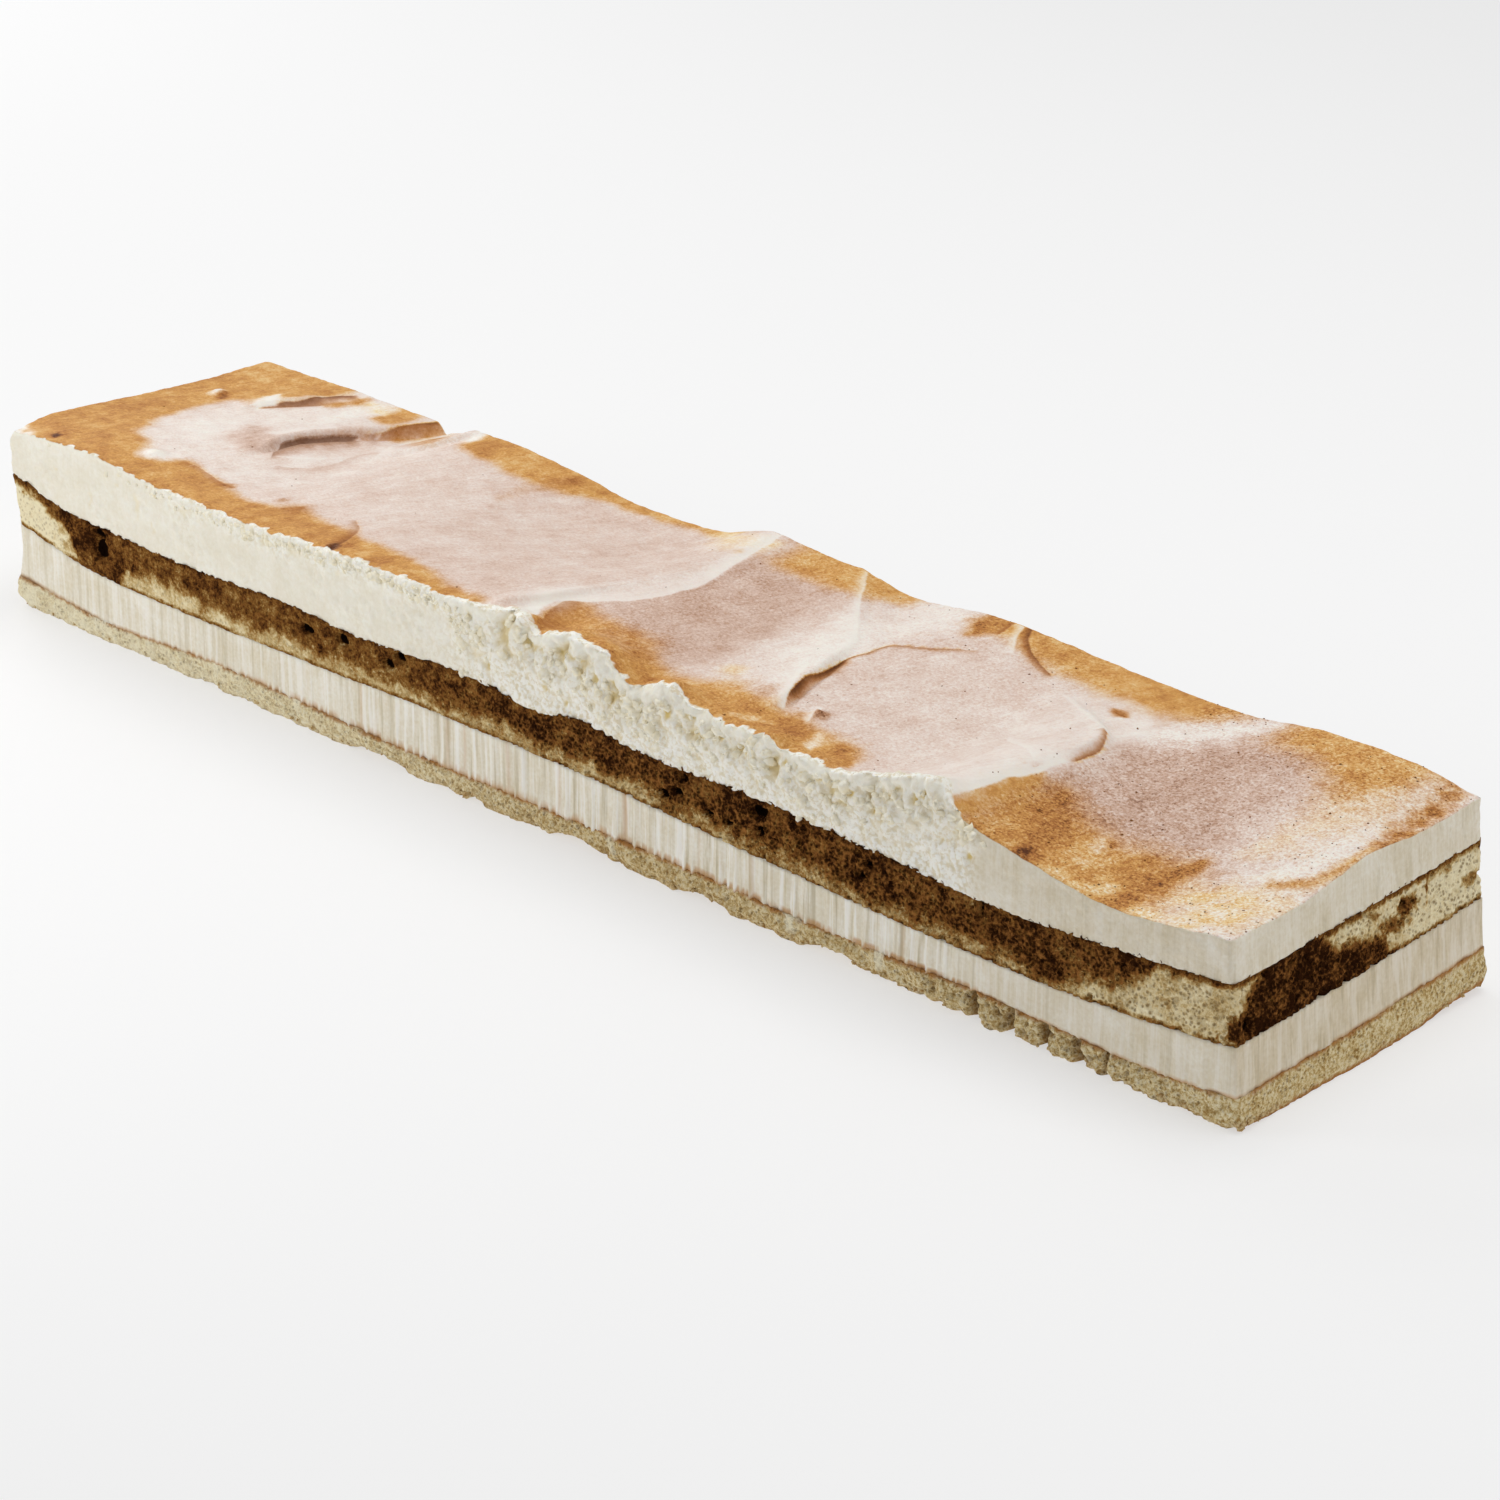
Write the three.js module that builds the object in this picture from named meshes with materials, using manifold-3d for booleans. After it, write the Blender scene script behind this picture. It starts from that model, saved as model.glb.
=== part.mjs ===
// A long strip of tiramisu cake: two sponge layers, two cream layers, cut sides.
// Millimetres, +Z up. +X runs along the strip, -Y is the front cut face, and the
// origin is the middle of the underside.

import * as THREE from 'three';
import { ImprovedNoise } from 'three/addons/math/ImprovedNoise.js';
import { mergeVertices } from 'three/addons/utils/BufferGeometryUtils.js';
import Module from 'manifold-3d';

// Overall size
const LENGTH = 410;
const WIDTH = 90;
const HEIGHT = 46;
const CORNER_RADIUS = 2;
const LAYER_GAP = 0.3;

// The near end and the long faces lean in towards the top by this much
const END_LEAN = 4.8;
const FRONT_LEAN = 0.5;

// The far end swells at the bottom sponge and at the top, as [height, inset from the full length]
const FAR_END_INSET = [[0, 1.6], [4.5, 0.1], [10, 2.2], [17, 3.4], [30, 2.2], [40, 1.0], [54, 1.2]];

// The layers lie this much higher along the back than along the front
const LAYER_CLIMB = 2.4;

// Layer lines on the front face, as [place along the strip, height]
const BOTTOM_SPONGE_LINE = [
  [-202, 8.4], [-164, 5.7], [-126, 7.6], [-58, 6.5], [51, 7.2], [91, 6.8], [134, 7.8], [184, 7.0], [204, 8.4],
];
const LOWER_CREAM_LINE = [
  [-203, 24.4], [-188, 20.7], [-171, 18.6], [-99, 18.6], [-46, 19.8], [6, 19.8], [63, 17.8], [126, 16.2],
  [168, 17.2], [203, 20.2],
];
const UPPER_SPONGE_LINE = [
  [-203, 37.6], [-184, 33.2], [-160, 32.0], [-137, 31.2], [-91, 32.4], [-74, 31.3], [-32, 33.2], [-6, 31.4],
  [11, 33.6], [24, 32.0], [65, 32.3], [147, 30.3], [180, 32.8], [203, 34.6],
];

// Rims of the top cream along the front and back faces, as [place along the strip, height]
const FRONT_RIM = [
  [-204, 50.2], [-190, 50.8], [-171, 51.8], [-148, 50.2], [-108, 49.8], [-78, 51.6], [-28, 51.2], [20, 48.4],
  [76, 46.0], [131, 46.4], [151, 42.8], [168, 41.0], [185, 42.6], [204, 45.8],
];
const BACK_RIM = [
  [-203, 44.2], [-154, 44.8], [-129, 42.7], [-116, 46.0], [-84, 45.0], [-64, 42.4], [-29, 43.4], [-11, 47.4],
  [16, 46.0], [36, 44.4], [58, 47.3], [101, 46.0], [136, 45.7], [158, 48.6], [189, 48.0], [203, 44.4],
];
const SWATH_SAG = 0.7;

// Raised lips left where a spatula stroke stopped. Each path runs from the front to
// the back: the gentle slope is on its left, towards -X, and the steep one on its right.
const SPATULA_LIPS = [
  { path: [[-178, 14], [-175, 22], [-168, 33]], rise: [0.8, 1.4], gentle: 7, steep: 2.5 },
  { path: [[-148, -8], [-151, 6], [-146, 21], [-139, 34], [-133, 47]], rise: [1.4, 2.4], gentle: 9, steep: 3 },
  { path: [[-143, -9], [-131, 9], [-124, 26], [-119, 43]], rise: [1.0, 2.2], gentle: 6, steep: 3 },
  { path: [[-26, -44], [-18, -18], [-10, 8], [-9, 25], [-13, 46]], rise: [1.8, 2.2], gentle: 14, steep: 3.5 },
  { path: [[57, -32], [51, -16], [47, -1], [41, 15], [16, 46]], rise: [1.4, 2.2], gentle: 11, steep: 3.2 },
  { path: [[119, -50], [122, -15], [123, -1], [119, 12], [96, 23]], rise: [7.0, 1.6], gentle: 13, steep: 4.2 },
];
const LIP_STEPS = 40;
const LIP_FADE = 0.12;

// Torn cream standing up at the rim, and hollows scooped out of it
const TORN_MOUNDS = [
  { x: -204, y: -43, rise: -2.0, along: 7, across: 6 },
  { x: -17, y: -43, rise: 1.8, along: 6, across: 6 },
  { x: 9, y: -41, rise: 4.2, along: 9, across: 8 },
  { x: 38, y: -43, rise: 3.4, along: 3.6, across: 5 },
  { x: 202, y: 2, rise: 3.0, along: 22, across: 15 },
  { x: -9, y: -31, rise: -2.0, along: 4, across: 8 },
  { x: 27, y: -42, rise: -1.4, along: 4, across: 6 },
];

// The front of the top cream is torn back between these places, from this height up
const TORN_START = -32;
const TORN_END = 128;
const TORN_SOFTNESS = 8;
const TORN_FOOT = 34;
const TORN_HEAD = 52;
const TORN_RECESS = 2.6;
const CRAG_DEPTH = 0.9;
const CRAG_SIZE = 8;

// The bottom sponge has a lumpy crumb, rounded in at its foot
const LUMP_DEPTH = 0.9;
const LUMP_SIZE = 11;
const FOOT_ROUND = 0.9;
const FOOT_HEIGHT = 2;

// Slow waves of the knife in all the cut faces
const CUT_WAVE_DEPTH = 0.35;
const CUT_WAVE_SIZE = 26;

// Where each uneven surface is read from the noise, so that no two are alike
const SEEDS = { left: 1.3, right: 5.1, front: 8.9, back: 12.4, crags: 3.7, lumpsEnds: 2.2, lumpsFront: 6.6, lumpsBack: 9.3 };

const wasm = await Module();
wasm.setup();

const noise = new ImprovedNoise();
const { lerp, clamp, smoothstep } = THREE.MathUtils;

// A smooth line through a few points
function lineThrough(points) {
  const places = points.map(([place]) => place);
  const heights = points.map(([, height]) => height);
  const line = new THREE.CubicInterpolant(places, heights, 1, new Float32Array(1));
  return (place) => line.evaluate(place)[0];
}

// A layer line carried through the cake to the back
function layerSurface(points) {
  const line = lineThrough(points);
  return (x, y) => line(x) + LAYER_CLIMB * (y / WIDTH + 0.5);
}

const bottomSpongeTop = layerSurface(BOTTOM_SPONGE_LINE);
const lowerCreamTop = layerSurface(LOWER_CREAM_LINE);
const upperSpongeTop = layerSurface(UPPER_SPONGE_LINE);
const frontRim = lineThrough(FRONT_RIM);
const backRim = lineThrough(BACK_RIM);
const farEndInset = lineThrough(FAR_END_INSET);

const lipCurves = SPATULA_LIPS.map((lip) => {
  const curve = new THREE.SplineCurve(lip.path.map(([x, y]) => new THREE.Vector2(x, y)));
  return { ...lip, points: curve.getPoints(LIP_STEPS) };
});

// Height of one lip at a place: steep on one side of its path, gentle on the other
function lipHeight(lip, x, y) {
  const { points } = lip;
  const distances = points.map((point) => Math.hypot(x - point.x, y - point.y));
  const shortest = Math.min(...distances);
  const nearest = distances.indexOf(shortest);
  const from = points[Math.max(nearest - 1, 0)];
  const to = points[Math.min(nearest + 1, LIP_STEPS)];
  const side = (to.x - from.x) * (y - points[nearest].y) - (to.y - from.y) * (x - points[nearest].x);
  const reach = side > 0 ? lip.gentle : lip.steep;
  const along = nearest / LIP_STEPS;
  const fade = smoothstep(along, -LIP_FADE / 2, LIP_FADE) * (1 - smoothstep(along, 1 - LIP_FADE, 1 + LIP_FADE / 2));
  return lerp(lip.rise[0], lip.rise[1], along) * fade * Math.exp(-((shortest / reach) ** 2));
}

function moundHeight(mound, x, y) {
  return mound.rise * Math.exp(-(((x - mound.x) / mound.along) ** 2) - ((y - mound.y) / mound.across) ** 2);
}

// Top of the cake: two rims, a slight sag between them, the lips and the mounds
function creamTop(x, y) {
  const across = clamp(y / WIDTH + 0.5, 0, 1);
  let height = lerp(frontRim(x), backRim(x), smoothstep(across, 0, 1));
  height -= SWATH_SAG * Math.sin(Math.PI * across);
  for (const lip of lipCurves) height += lipHeight(lip, x, y);
  for (const mound of TORN_MOUNDS) height += moundHeight(mound, x, y);
  return height;
}

// How far a cut face wanders in or out at a place along it
function cutWave(along, z, seed) {
  return CUT_WAVE_DEPTH * noise.noise(along / CUT_WAVE_SIZE, z / CUT_WAVE_SIZE, seed);
}

// Lumps of the bottom sponge, rounded in under its foot
function spongeRelief(along, z, seed) {
  const lumps = LUMP_DEPTH * noise.noise(along / LUMP_SIZE, z / LUMP_SIZE, seed);
  const foot = FOOT_ROUND * (1 - clamp(z / FOOT_HEIGHT, 0, 1)) ** 2;
  return lumps - foot;
}

// Torn front of the top cream: leans back and breaks into crags
function tornRelief(x, z) {
  const started = smoothstep(x, TORN_START - TORN_SOFTNESS, TORN_START + TORN_SOFTNESS);
  const ended = smoothstep(x, TORN_END - TORN_SOFTNESS, TORN_END + TORN_SOFTNESS);
  const lean = TORN_RECESS * smoothstep(z, TORN_FOOT, TORN_HEAD);
  return started * (1 - ended) * (CRAG_DEPTH * noise.noise(x / CRAG_SIZE, z / CRAG_SIZE, SEEDS.crags) - lean);
}

// The four cut faces; relief adds a layer's own unevenness, outwards
function leftFace(y, z, relief) {
  return farEndInset(z) - LENGTH / 2 - cutWave(y, z, SEEDS.left) - relief;
}

function rightFace(y, z, relief) {
  return LENGTH / 2 - END_LEAN * z / HEIGHT + cutWave(y, z, SEEDS.right) + relief;
}

function frontFace(x, z, relief) {
  return FRONT_LEAN * z / HEIGHT - WIDTH / 2 - cutWave(x, z, SEEDS.front) - relief;
}

function backFace(x, z, relief) {
  return WIDTH / 2 - FRONT_LEAN * z / HEIGHT + cutWave(x, z, SEEDS.back) + relief;
}

// Pulls the square corner of two faces in to a round one
function roundCorner(x, y, left, right, front, back) {
  const middleX = (left + right) / 2;
  const middleY = (front + back) / 2;
  const pastX = Math.abs(x - middleX) - ((right - left) / 2 - CORNER_RADIUS);
  const pastY = Math.abs(y - middleY) - ((back - front) / 2 - CORNER_RADIUS);
  if (pastX <= 0 || pastY <= 0) return [x, y];
  const pull = 1 - Math.max(pastX, pastY) / Math.hypot(pastX, pastY);
  return [x - Math.sign(x - middleX) * pastX * pull, y - Math.sign(y - middleY) * pastY * pull];
}

// Keeps only the positions, so that the block's faces share their corners
function joined(geometry) {
  geometry.deleteAttribute('normal');
  geometry.deleteAttribute('uv');
  return mergeVertices(geometry);
}

// A block bent to lie between two surfaces and inside the four cut faces
function layerGeometry({ segments, bottom, top, relief }) {
  const geometry = joined(new THREE.BoxGeometry(1, 1, 1, ...segments));
  const position = geometry.attributes.position;
  for (let i = 0; i < position.count; i += 1) {
    const along = position.getX(i) + 0.5;
    const across = position.getY(i) + 0.5;
    const up = position.getZ(i) + 0.5;
    const roughX = (along - 0.5) * LENGTH;
    const roughY = (across - 0.5) * WIDTH;
    const roughZ = lerp(bottom(roughX, roughY), top(roughX, roughY), up);
    const left = leftFace(roughY, roughZ, relief.ends(roughY, roughZ));
    const right = rightFace(roughY, roughZ, relief.ends(roughY + WIDTH, roughZ));
    const front = frontFace(roughX, roughZ, relief.front(roughX, roughZ));
    const back = backFace(roughX, roughZ, relief.back(roughX, roughZ));
    const [x, y] = roundCorner(lerp(left, right, along), lerp(front, back, across), left, right, front, back);
    position.setXYZ(i, x, y, lerp(bottom(x, y), top(x, y), up));
  }
  return geometry;
}

function toSolid(geometry) {
  const vertProperties = new Float32Array(geometry.attributes.position.array);
  const triVerts = new Uint32Array(geometry.index.array);
  return new wasm.Manifold(new wasm.Mesh({ numProp: 3, vertProperties, triVerts }));
}

function toGeometry(solid) {
  const mesh = solid.getMesh();
  const geometry = new THREE.BufferGeometry();
  geometry.setAttribute('position', new THREE.BufferAttribute(new Float32Array(mesh.vertProperties), 3));
  geometry.setIndex(new THREE.BufferAttribute(new Uint32Array(mesh.triVerts), 1));
  return geometry;
}

function layerMesh(name, geometry, color, roughness) {
  geometry.computeVertexNormals();
  const material = new THREE.MeshStandardMaterial({ color, roughness, metalness: 0 });
  const mesh = new THREE.Mesh(geometry, material);
  mesh.name = name;
  return mesh;
}

// A surface moved up or down by a fixed step
function shifted(surface, step) {
  return (x, y) => surface(x, y) + step;
}

const floorLevel = () => 0;
const noRelief = () => 0;
const smoothCut = { ends: noRelief, front: noRelief, back: noRelief };
const tornCut = { ends: noRelief, front: tornRelief, back: noRelief };
const lumpyCut = {
  ends: (y, z) => spongeRelief(y, z, SEEDS.lumpsEnds),
  front: (x, z) => spongeRelief(x, z, SEEDS.lumpsFront),
  back: (x, z) => spongeRelief(x, z, SEEDS.lumpsBack),
};

function bottomSponge() {
  const geometry = layerGeometry({
    segments: [84, 2, 3],
    bottom: floorLevel,
    top: shifted(bottomSpongeTop, -LAYER_GAP),
    relief: lumpyCut,
  });
  return layerMesh('bottom_sponge', geometry, 0xcbb384, 0.95);
}

function lowerCream() {
  const geometry = layerGeometry({
    segments: [40, 2, 2],
    bottom: bottomSpongeTop,
    top: shifted(lowerCreamTop, -LAYER_GAP),
    relief: smoothCut,
  });
  return layerMesh('lower_cream', geometry, 0xdcd2bb, 0.6);
}

// Coffee-soaked along most of its length, so it is the dark layer
function upperSponge() {
  const geometry = layerGeometry({
    segments: [84, 2, 2],
    bottom: lowerCreamTop,
    top: shifted(upperSpongeTop, -LAYER_GAP),
    relief: smoothCut,
  });
  return layerMesh('upper_sponge', geometry, 0x5f4023, 0.9);
}

// A block a little larger than the cake, whose top is the top of the upper sponge
function spongeCutter() {
  const margin = 20;
  const depth = HEIGHT / 2;
  const geometry = joined(new THREE.BoxGeometry(LENGTH + margin, WIDTH + margin, depth, 84, 1, 1));
  const position = geometry.attributes.position;
  for (let i = 0; i < position.count; i += 1) {
    const surface = upperSpongeTop(position.getX(i), position.getY(i));
    position.setZ(i, surface + position.getZ(i) - depth / 2);
  }
  return geometry;
}

// A fine block of cream reaches down into the sponge and is cut off on its top
function topCream() {
  const sink = 2;
  const cream = layerGeometry({
    segments: [126, 26, 3],
    bottom: shifted(upperSpongeTop, -sink),
    top: creamTop,
    relief: tornCut,
  });
  const geometry = toGeometry(toSolid(cream).subtract(toSolid(spongeCutter())));
  return layerMesh('top_cream', geometry, 0xe2d9c6, 0.6);
}

const cake = new THREE.Group();
cake.add(bottomSponge(), lowerCream(), upperSponge(), topCream());

export default cake;
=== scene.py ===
import math
from itertools import product

import bmesh
import bpy
import numpy as np
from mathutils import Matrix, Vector
from mathutils.bvhtree import BVHTree


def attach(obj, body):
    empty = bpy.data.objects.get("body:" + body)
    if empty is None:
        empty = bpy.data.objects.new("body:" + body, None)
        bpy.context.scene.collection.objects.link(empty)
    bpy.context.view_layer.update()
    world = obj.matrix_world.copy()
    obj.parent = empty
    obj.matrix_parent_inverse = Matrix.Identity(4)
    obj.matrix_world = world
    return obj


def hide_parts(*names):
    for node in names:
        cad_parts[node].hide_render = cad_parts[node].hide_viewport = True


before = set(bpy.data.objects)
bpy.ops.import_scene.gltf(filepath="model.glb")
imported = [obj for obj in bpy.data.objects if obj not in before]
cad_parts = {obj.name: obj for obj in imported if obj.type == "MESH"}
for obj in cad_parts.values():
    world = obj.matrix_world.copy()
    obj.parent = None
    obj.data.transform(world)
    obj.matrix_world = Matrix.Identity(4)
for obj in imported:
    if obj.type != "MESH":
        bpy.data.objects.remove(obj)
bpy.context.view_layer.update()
print("frame loaded:", sorted(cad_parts))

mm = 0.001  # shapes are worked out in millimetres and stored in metres


# Noise for all that is uneven

noiseDraw = np.random.default_rng(21)
shuffled = np.tile(noiseDraw.permutation(256), 2)
slopes = noiseDraw.normal(size=(256, 3))
slopes /= np.linalg.norm(slopes, axis=1, keepdims=True)
spots = noiseDraw.random((256, 3))


def cellKey(cell, seed):
    x, y, z = np.moveaxis((cell + seed * 37) & 255, -1, 0)
    return shuffled[shuffled[shuffled[x] + y] + z]


def waves(place, size, seed, octaves=1):  # soft bumps of about this size, from -1 to 1
    total = np.zeros(place.shape[:-1])
    for octave in range(octaves):
        scaled = place / size * 2 ** octave
        cell = np.floor(scaled).astype(int)
        local = scaled - cell
        fade = local ** 3 * (local * (local * 6 - 15) + 10)
        for corner in product((0, 1), repeat=3):
            weight = np.prod(np.where(corner, fade, 1 - fade), axis=-1)
            slope = slopes[cellKey(cell + corner, seed + octave)]
            total += weight * ((local - corner) * slope).sum(-1) * 0.5 ** octave
    return total * 1.6


def cells(place, size, seed):  # distance to scattered points, 0 at a point and about 1 between them
    scaled = place / size
    cell = np.floor(scaled).astype(int)
    nearest = np.full(place.shape[:-1], 9.0)
    for step in product((-1, 0, 1), repeat=3):
        around = cell + step
        gap = around + spots[cellKey(around, seed)] - scaled
        nearest = np.minimum(nearest, (gap ** 2).sum(-1))
    return np.sqrt(nearest)


# Small helpers for fields of numbers

def ease(value, low, high):
    step = np.clip((value - low) / (high - low), 0, 1)
    return step * step * (3 - 2 * step)


def bell(away, half):  # 1 in the middle, and soon 0 beyond half a width
    return np.exp(-(away / half) ** 2)


def valueAlong(line, place):  # a line is places with their values; a plain pair is the values at 0 and 1
    points = line if np.ndim(line[0]) else enumerate(line)
    return np.interp(place, *zip(*points))


def soften(field, passes, wrapped=False):  # evens out a grid of numbers, by so many passes along each axis
    for axis, count in enumerate(passes):
        first, last = [(slice(None),) * axis + (end,) for end in (0, -1)]
        for turn in range(count):
            before, after = np.roll(field, 1, axis), np.roll(field, -1, axis)
            if not wrapped or axis == 0:
                before[first] = field[first]
                after[last] = field[last]
            field = (before + 2 * field + after) / 4
    return field


def smoothPath(points, steps=8):  # a rounded line through a few points
    ends = np.array([points[0], *points, points[-1]], float)
    share = np.linspace(0, 1, steps, endpoint=False)[:, None]
    parts = []
    for a, b, c, d in zip(ends, ends[1:], ends[2:], ends[3:]):
        curve = 2 * b + (c - a) * share + (2 * a - 5 * b + 4 * c - d) * share ** 2
        parts.append((curve + (3 * b - a - 3 * c + d) * share ** 3) / 2)
    return np.vstack([*parts, ends[-1:]])


def nearPath(x, y, path):  # distance to a path, + on its right side, and how far along it
    path = np.array(path, float)
    best = np.full(x.shape, np.inf)
    side = np.ones(x.shape)
    share = np.zeros(x.shape)
    for i in range(max(len(path) - 1, 1)):
        start, end = path[i], path[min(i + 1, len(path) - 1)]
        run = end - start
        reach = max(run @ run, 1e-9)
        step = np.clip(((x - start[0]) * run[0] + (y - start[1]) * run[1]) / reach, 0, 1)
        gapX, gapY = x - start[0] - step * run[0], y - start[1] - step * run[1]
        distance = np.hypot(gapX, gapY)
        closer = distance < best
        best = np.where(closer, distance, best)
        side = np.where(closer, np.where(gapX * run[1] - gapY * run[0] >= 0, 1, -1), side)
        share = np.where(closer, (i + step) / max(len(path) - 1, 1), share)
    return best, side, share


# Measures from the CAD solids

def solidTree(node):
    bm = bmesh.new()
    bm.from_mesh(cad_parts[node].data)
    bmesh.ops.remove_doubles(bm, verts=bm.verts, dist=1e-6)
    tree = BVHTree.FromBMesh(bm)
    bm.free()
    return tree


def castOn(tree, starts, ways):  # where rays meet a solid
    shape = starts.shape
    starts = starts.reshape(-1, 3) * mm
    ways = np.broadcast_to(ways, shape).reshape(-1, 3)
    hits = np.empty_like(starts)
    for i in range(len(starts)):
        hit = tree.ray_cast(starts[i], ways[i])[0]
        hits[i] = np.nan if hit is None else hit
    return hits.reshape(shape) / mm


cakeSize = {"length": 410, "width": 90, "height": 46, "corner": 2, "lean": 4.8}
castLook = {
    # how far inside its wall a layer's height is taken: a safe place first, then a near one
    "insets": (4.0, 1.2),
    # the far end stands back: how much further in it is measured, from where on, and on which lines
    "farInset": 4, "farFrom": (198, 203), "farLines": (-32.0, -16, 0, 16, 32),
    # the last stretch, over which the wall follows the far end
    "farStretch": 55, "farStart": 2.7,
    # rays keep this far off a layer's edges, start this far out, and are used up to this reach
    "endGap": 0.4, "edgeGap": 0.25, "start": 30, "above": 100.0, "reach": 5,
}


def perimeter(travel):  # places round the cake from the front left corner, and the way out at each
    corner = cakeSize["corner"]
    halfLong, halfWide = cakeSize["length"] / 2 - corner, cakeSize["width"] / 2 - corner
    bend = math.pi * corner / 2
    runs = np.array([2 * halfLong, bend, 2 * halfWide, bend] * 2)
    ends = np.cumsum(runs)
    travel = travel % ends[-1]
    part = np.searchsorted(ends, travel, side="right")
    local = travel - (ends - runs)[part]
    side, bending = part // 2, part % 2 == 1
    angle = (side - 1) * math.pi / 2 + np.where(bending, local / corner, 0)
    knots = np.array([(-1, -1), (1, -1), (1, 1), (-1, 1), (-1, -1)]) * (halfLong, halfWide)
    headings = np.array([(1, 0), (0, 1), (-1, 0), (0, -1)])
    base = np.where(bending[:, None], knots[side + 1], knots[side] + headings[side] * local[:, None])
    out = np.stack([np.cos(angle), np.sin(angle)], -1)
    return base + corner * out, out


def perimeterLength():
    corner = cakeSize["corner"]
    return 2 * (cakeSize["length"] + cakeSize["width"] - 4 * corner) + 2 * math.pi * corner


def leanAt(x, height):  # how far the near end has leaned in at a height
    return np.clip(x / cakeSize["length"] * 2, 0, 1) * cakeSize["lean"] * height / cakeSize["height"]


def edgeHeight(tree, outline, out, way):  # height of a layer's top or bottom just inside its wall
    height = None
    for inset in castLook["insets"]:
        places = outline - out * inset
        places[:, 0] -= leanAt(outline[:, 0], cakeSize["height"] if height is None else height)
        places[:, 0] += castLook["farInset"] * ease(-outline[:, 0], *castLook["farFrom"])
        starts = np.column_stack([places, np.full(len(places), -castLook["above"] * way)])
        found = castOn(tree, starts, np.array((0.0, 0, way)))[:, 2]
        height = found if height is None else np.where(np.isnan(found), height, found)
    return height


def farRecess(tree, heights):  # how far the far end stands back at some heights
    gap = castLook["endGap"]
    heights = np.clip(heights, heights.min() + gap, heights.max() - gap)
    starts = np.stack(np.broadcast_arrays(-300.0, np.array(castLook["farLines"]), heights[:, None]), -1)
    found = castOn(tree, starts, np.array((1.0, 0, 0)))[..., 0]
    return np.nanmedian(found, axis=1) + cakeSize["length"] / 2


def wallOf(node, outline, out, rows, topUp=0.15, bottomDown=0.15, calm=(3, 3)):
    # the cut face of a layer all round, as rows of places from its bottom to its top
    tree = solidTree(node)
    top = edgeHeight(tree, outline, out, -1)
    bottom = edgeHeight(tree, outline, out, 1)
    share = np.linspace(0, 1, rows + 1)[:, None]
    height = bottom + (top - bottom) * share
    farMiddle = np.argmin(outline[:, 0] + np.abs(outline[:, 1]) * 0.01)
    recess = farRecess(tree, height[:, farMiddle])[:, None]
    recess = recess * np.clip(-outline[:, 0] / castLook["farStretch"] - castLook["farStart"], 0, 1)
    leaned = outline[:, 0] - leanAt(outline[:, 0], height) + recess
    upright = np.dstack([leaned, np.broadcast_to(outline[:, 1], height.shape)])
    reached = np.clip(height, bottom + castLook["edgeGap"], top - castLook["edgeGap"])
    starts = np.dstack([upright + out * castLook["start"], reached])
    hits = castOn(tree, starts, np.column_stack([-out, np.zeros(len(out))]))
    reach = ((hits[..., :2] - upright) * out).sum(-1)
    reach[~(np.abs(reach) < castLook["reach"])] = np.nan
    for row in range(1, rows + 1):  # a ray that passes by takes the reach of the row beside it
        reach[row] = np.where(np.isnan(reach[row]), reach[row - 1], reach[row])
    for row in range(rows - 1, -1, -1):
        reach[row] = np.where(np.isnan(reach[row]), reach[row + 1], reach[row])
    reach = soften(np.nan_to_num(reach), calm, wrapped=True)
    place = np.dstack([upright + out * reach[..., None], height])
    place[..., 2] += topUp * share - bottomDown * (1 - share)
    return {
        "place": place, "out": np.broadcast_to(out, (*height.shape, 2)),
        "share": np.broadcast_to(share, height.shape),
        "front": np.broadcast_to(np.clip(-out[:, 1], 0, 1), height.shape),
        "fromTop": (1 - share) * (top - bottom), "fromBottom": share * (top - bottom),
    }


def facesOf(wall):  # for each face: the places along it, and how far the wall turns that way
    x, y = wall["place"][..., 0], wall["place"][..., 1]
    outX, outY = wall["out"][..., 0], wall["out"][..., 1]
    return {"front": (x, -outY), "nearEnd": (y, outX), "back": (x, outY), "farEnd": (y, -outX)}


def roundTheCake(wall, lines):  # a value given along the four faces, blended at the corners
    total = 0
    for face, (place, facing) in facesOf(wall).items():
        total = total + valueAlong(lines[face], place) * np.clip(facing, 0, 1) ** 2
    return total


def onFace(wall, face, middle, height, long, high, sharpness=2):  # a round spot on one face
    place, facing = facesOf(wall)[face]
    away = ((place - middle) / long) ** 2 + ((wall["place"][..., 2] - height) / high) ** 2
    return np.exp(-away ** (sharpness / 2)) * (facing > 0.3)


def pushOut(wall, depth):
    wall["place"] = wall["place"] + np.dstack([wall["out"] * depth[..., None], np.zeros(depth.shape)])


# Meshes

def newPiece(name, mesh, material, node=None):
    piece = bpy.data.objects.new(name, mesh)
    bpy.context.scene.collection.objects.link(piece)
    mesh.materials.append(material)
    mesh.shade_smooth()
    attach(piece, "root")
    if node:
        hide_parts(node)
    print(name, "has", len(mesh.polygons), "faces")


def storePaint(mesh, paint):
    for key, field in paint.items():
        layer = mesh.attributes.new(key, "FLOAT", "POINT")
        layer.data.foreach_set("value", np.ascontiguousarray(field, np.float32).ravel())


def meshOf(bm, name):
    mesh = bpy.data.meshes.new(name)
    bm.to_mesh(mesh)
    bm.free()
    return mesh


def vertexPlaces(mesh):
    places = np.empty(len(mesh.vertices) * 3, np.float32)
    mesh.vertices.foreach_get("co", places)
    return places.reshape(-1, 3)


def setPlaces(mesh, places):
    mesh.vertices.foreach_set("co", np.ascontiguousarray(places * mm, np.float32).ravel())


def gridSteps(shares, count):  # which line of a flat grid from -1 to 1 each corner is on
    return np.rint((shares + 1) / 2 * count).astype(int)


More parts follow.
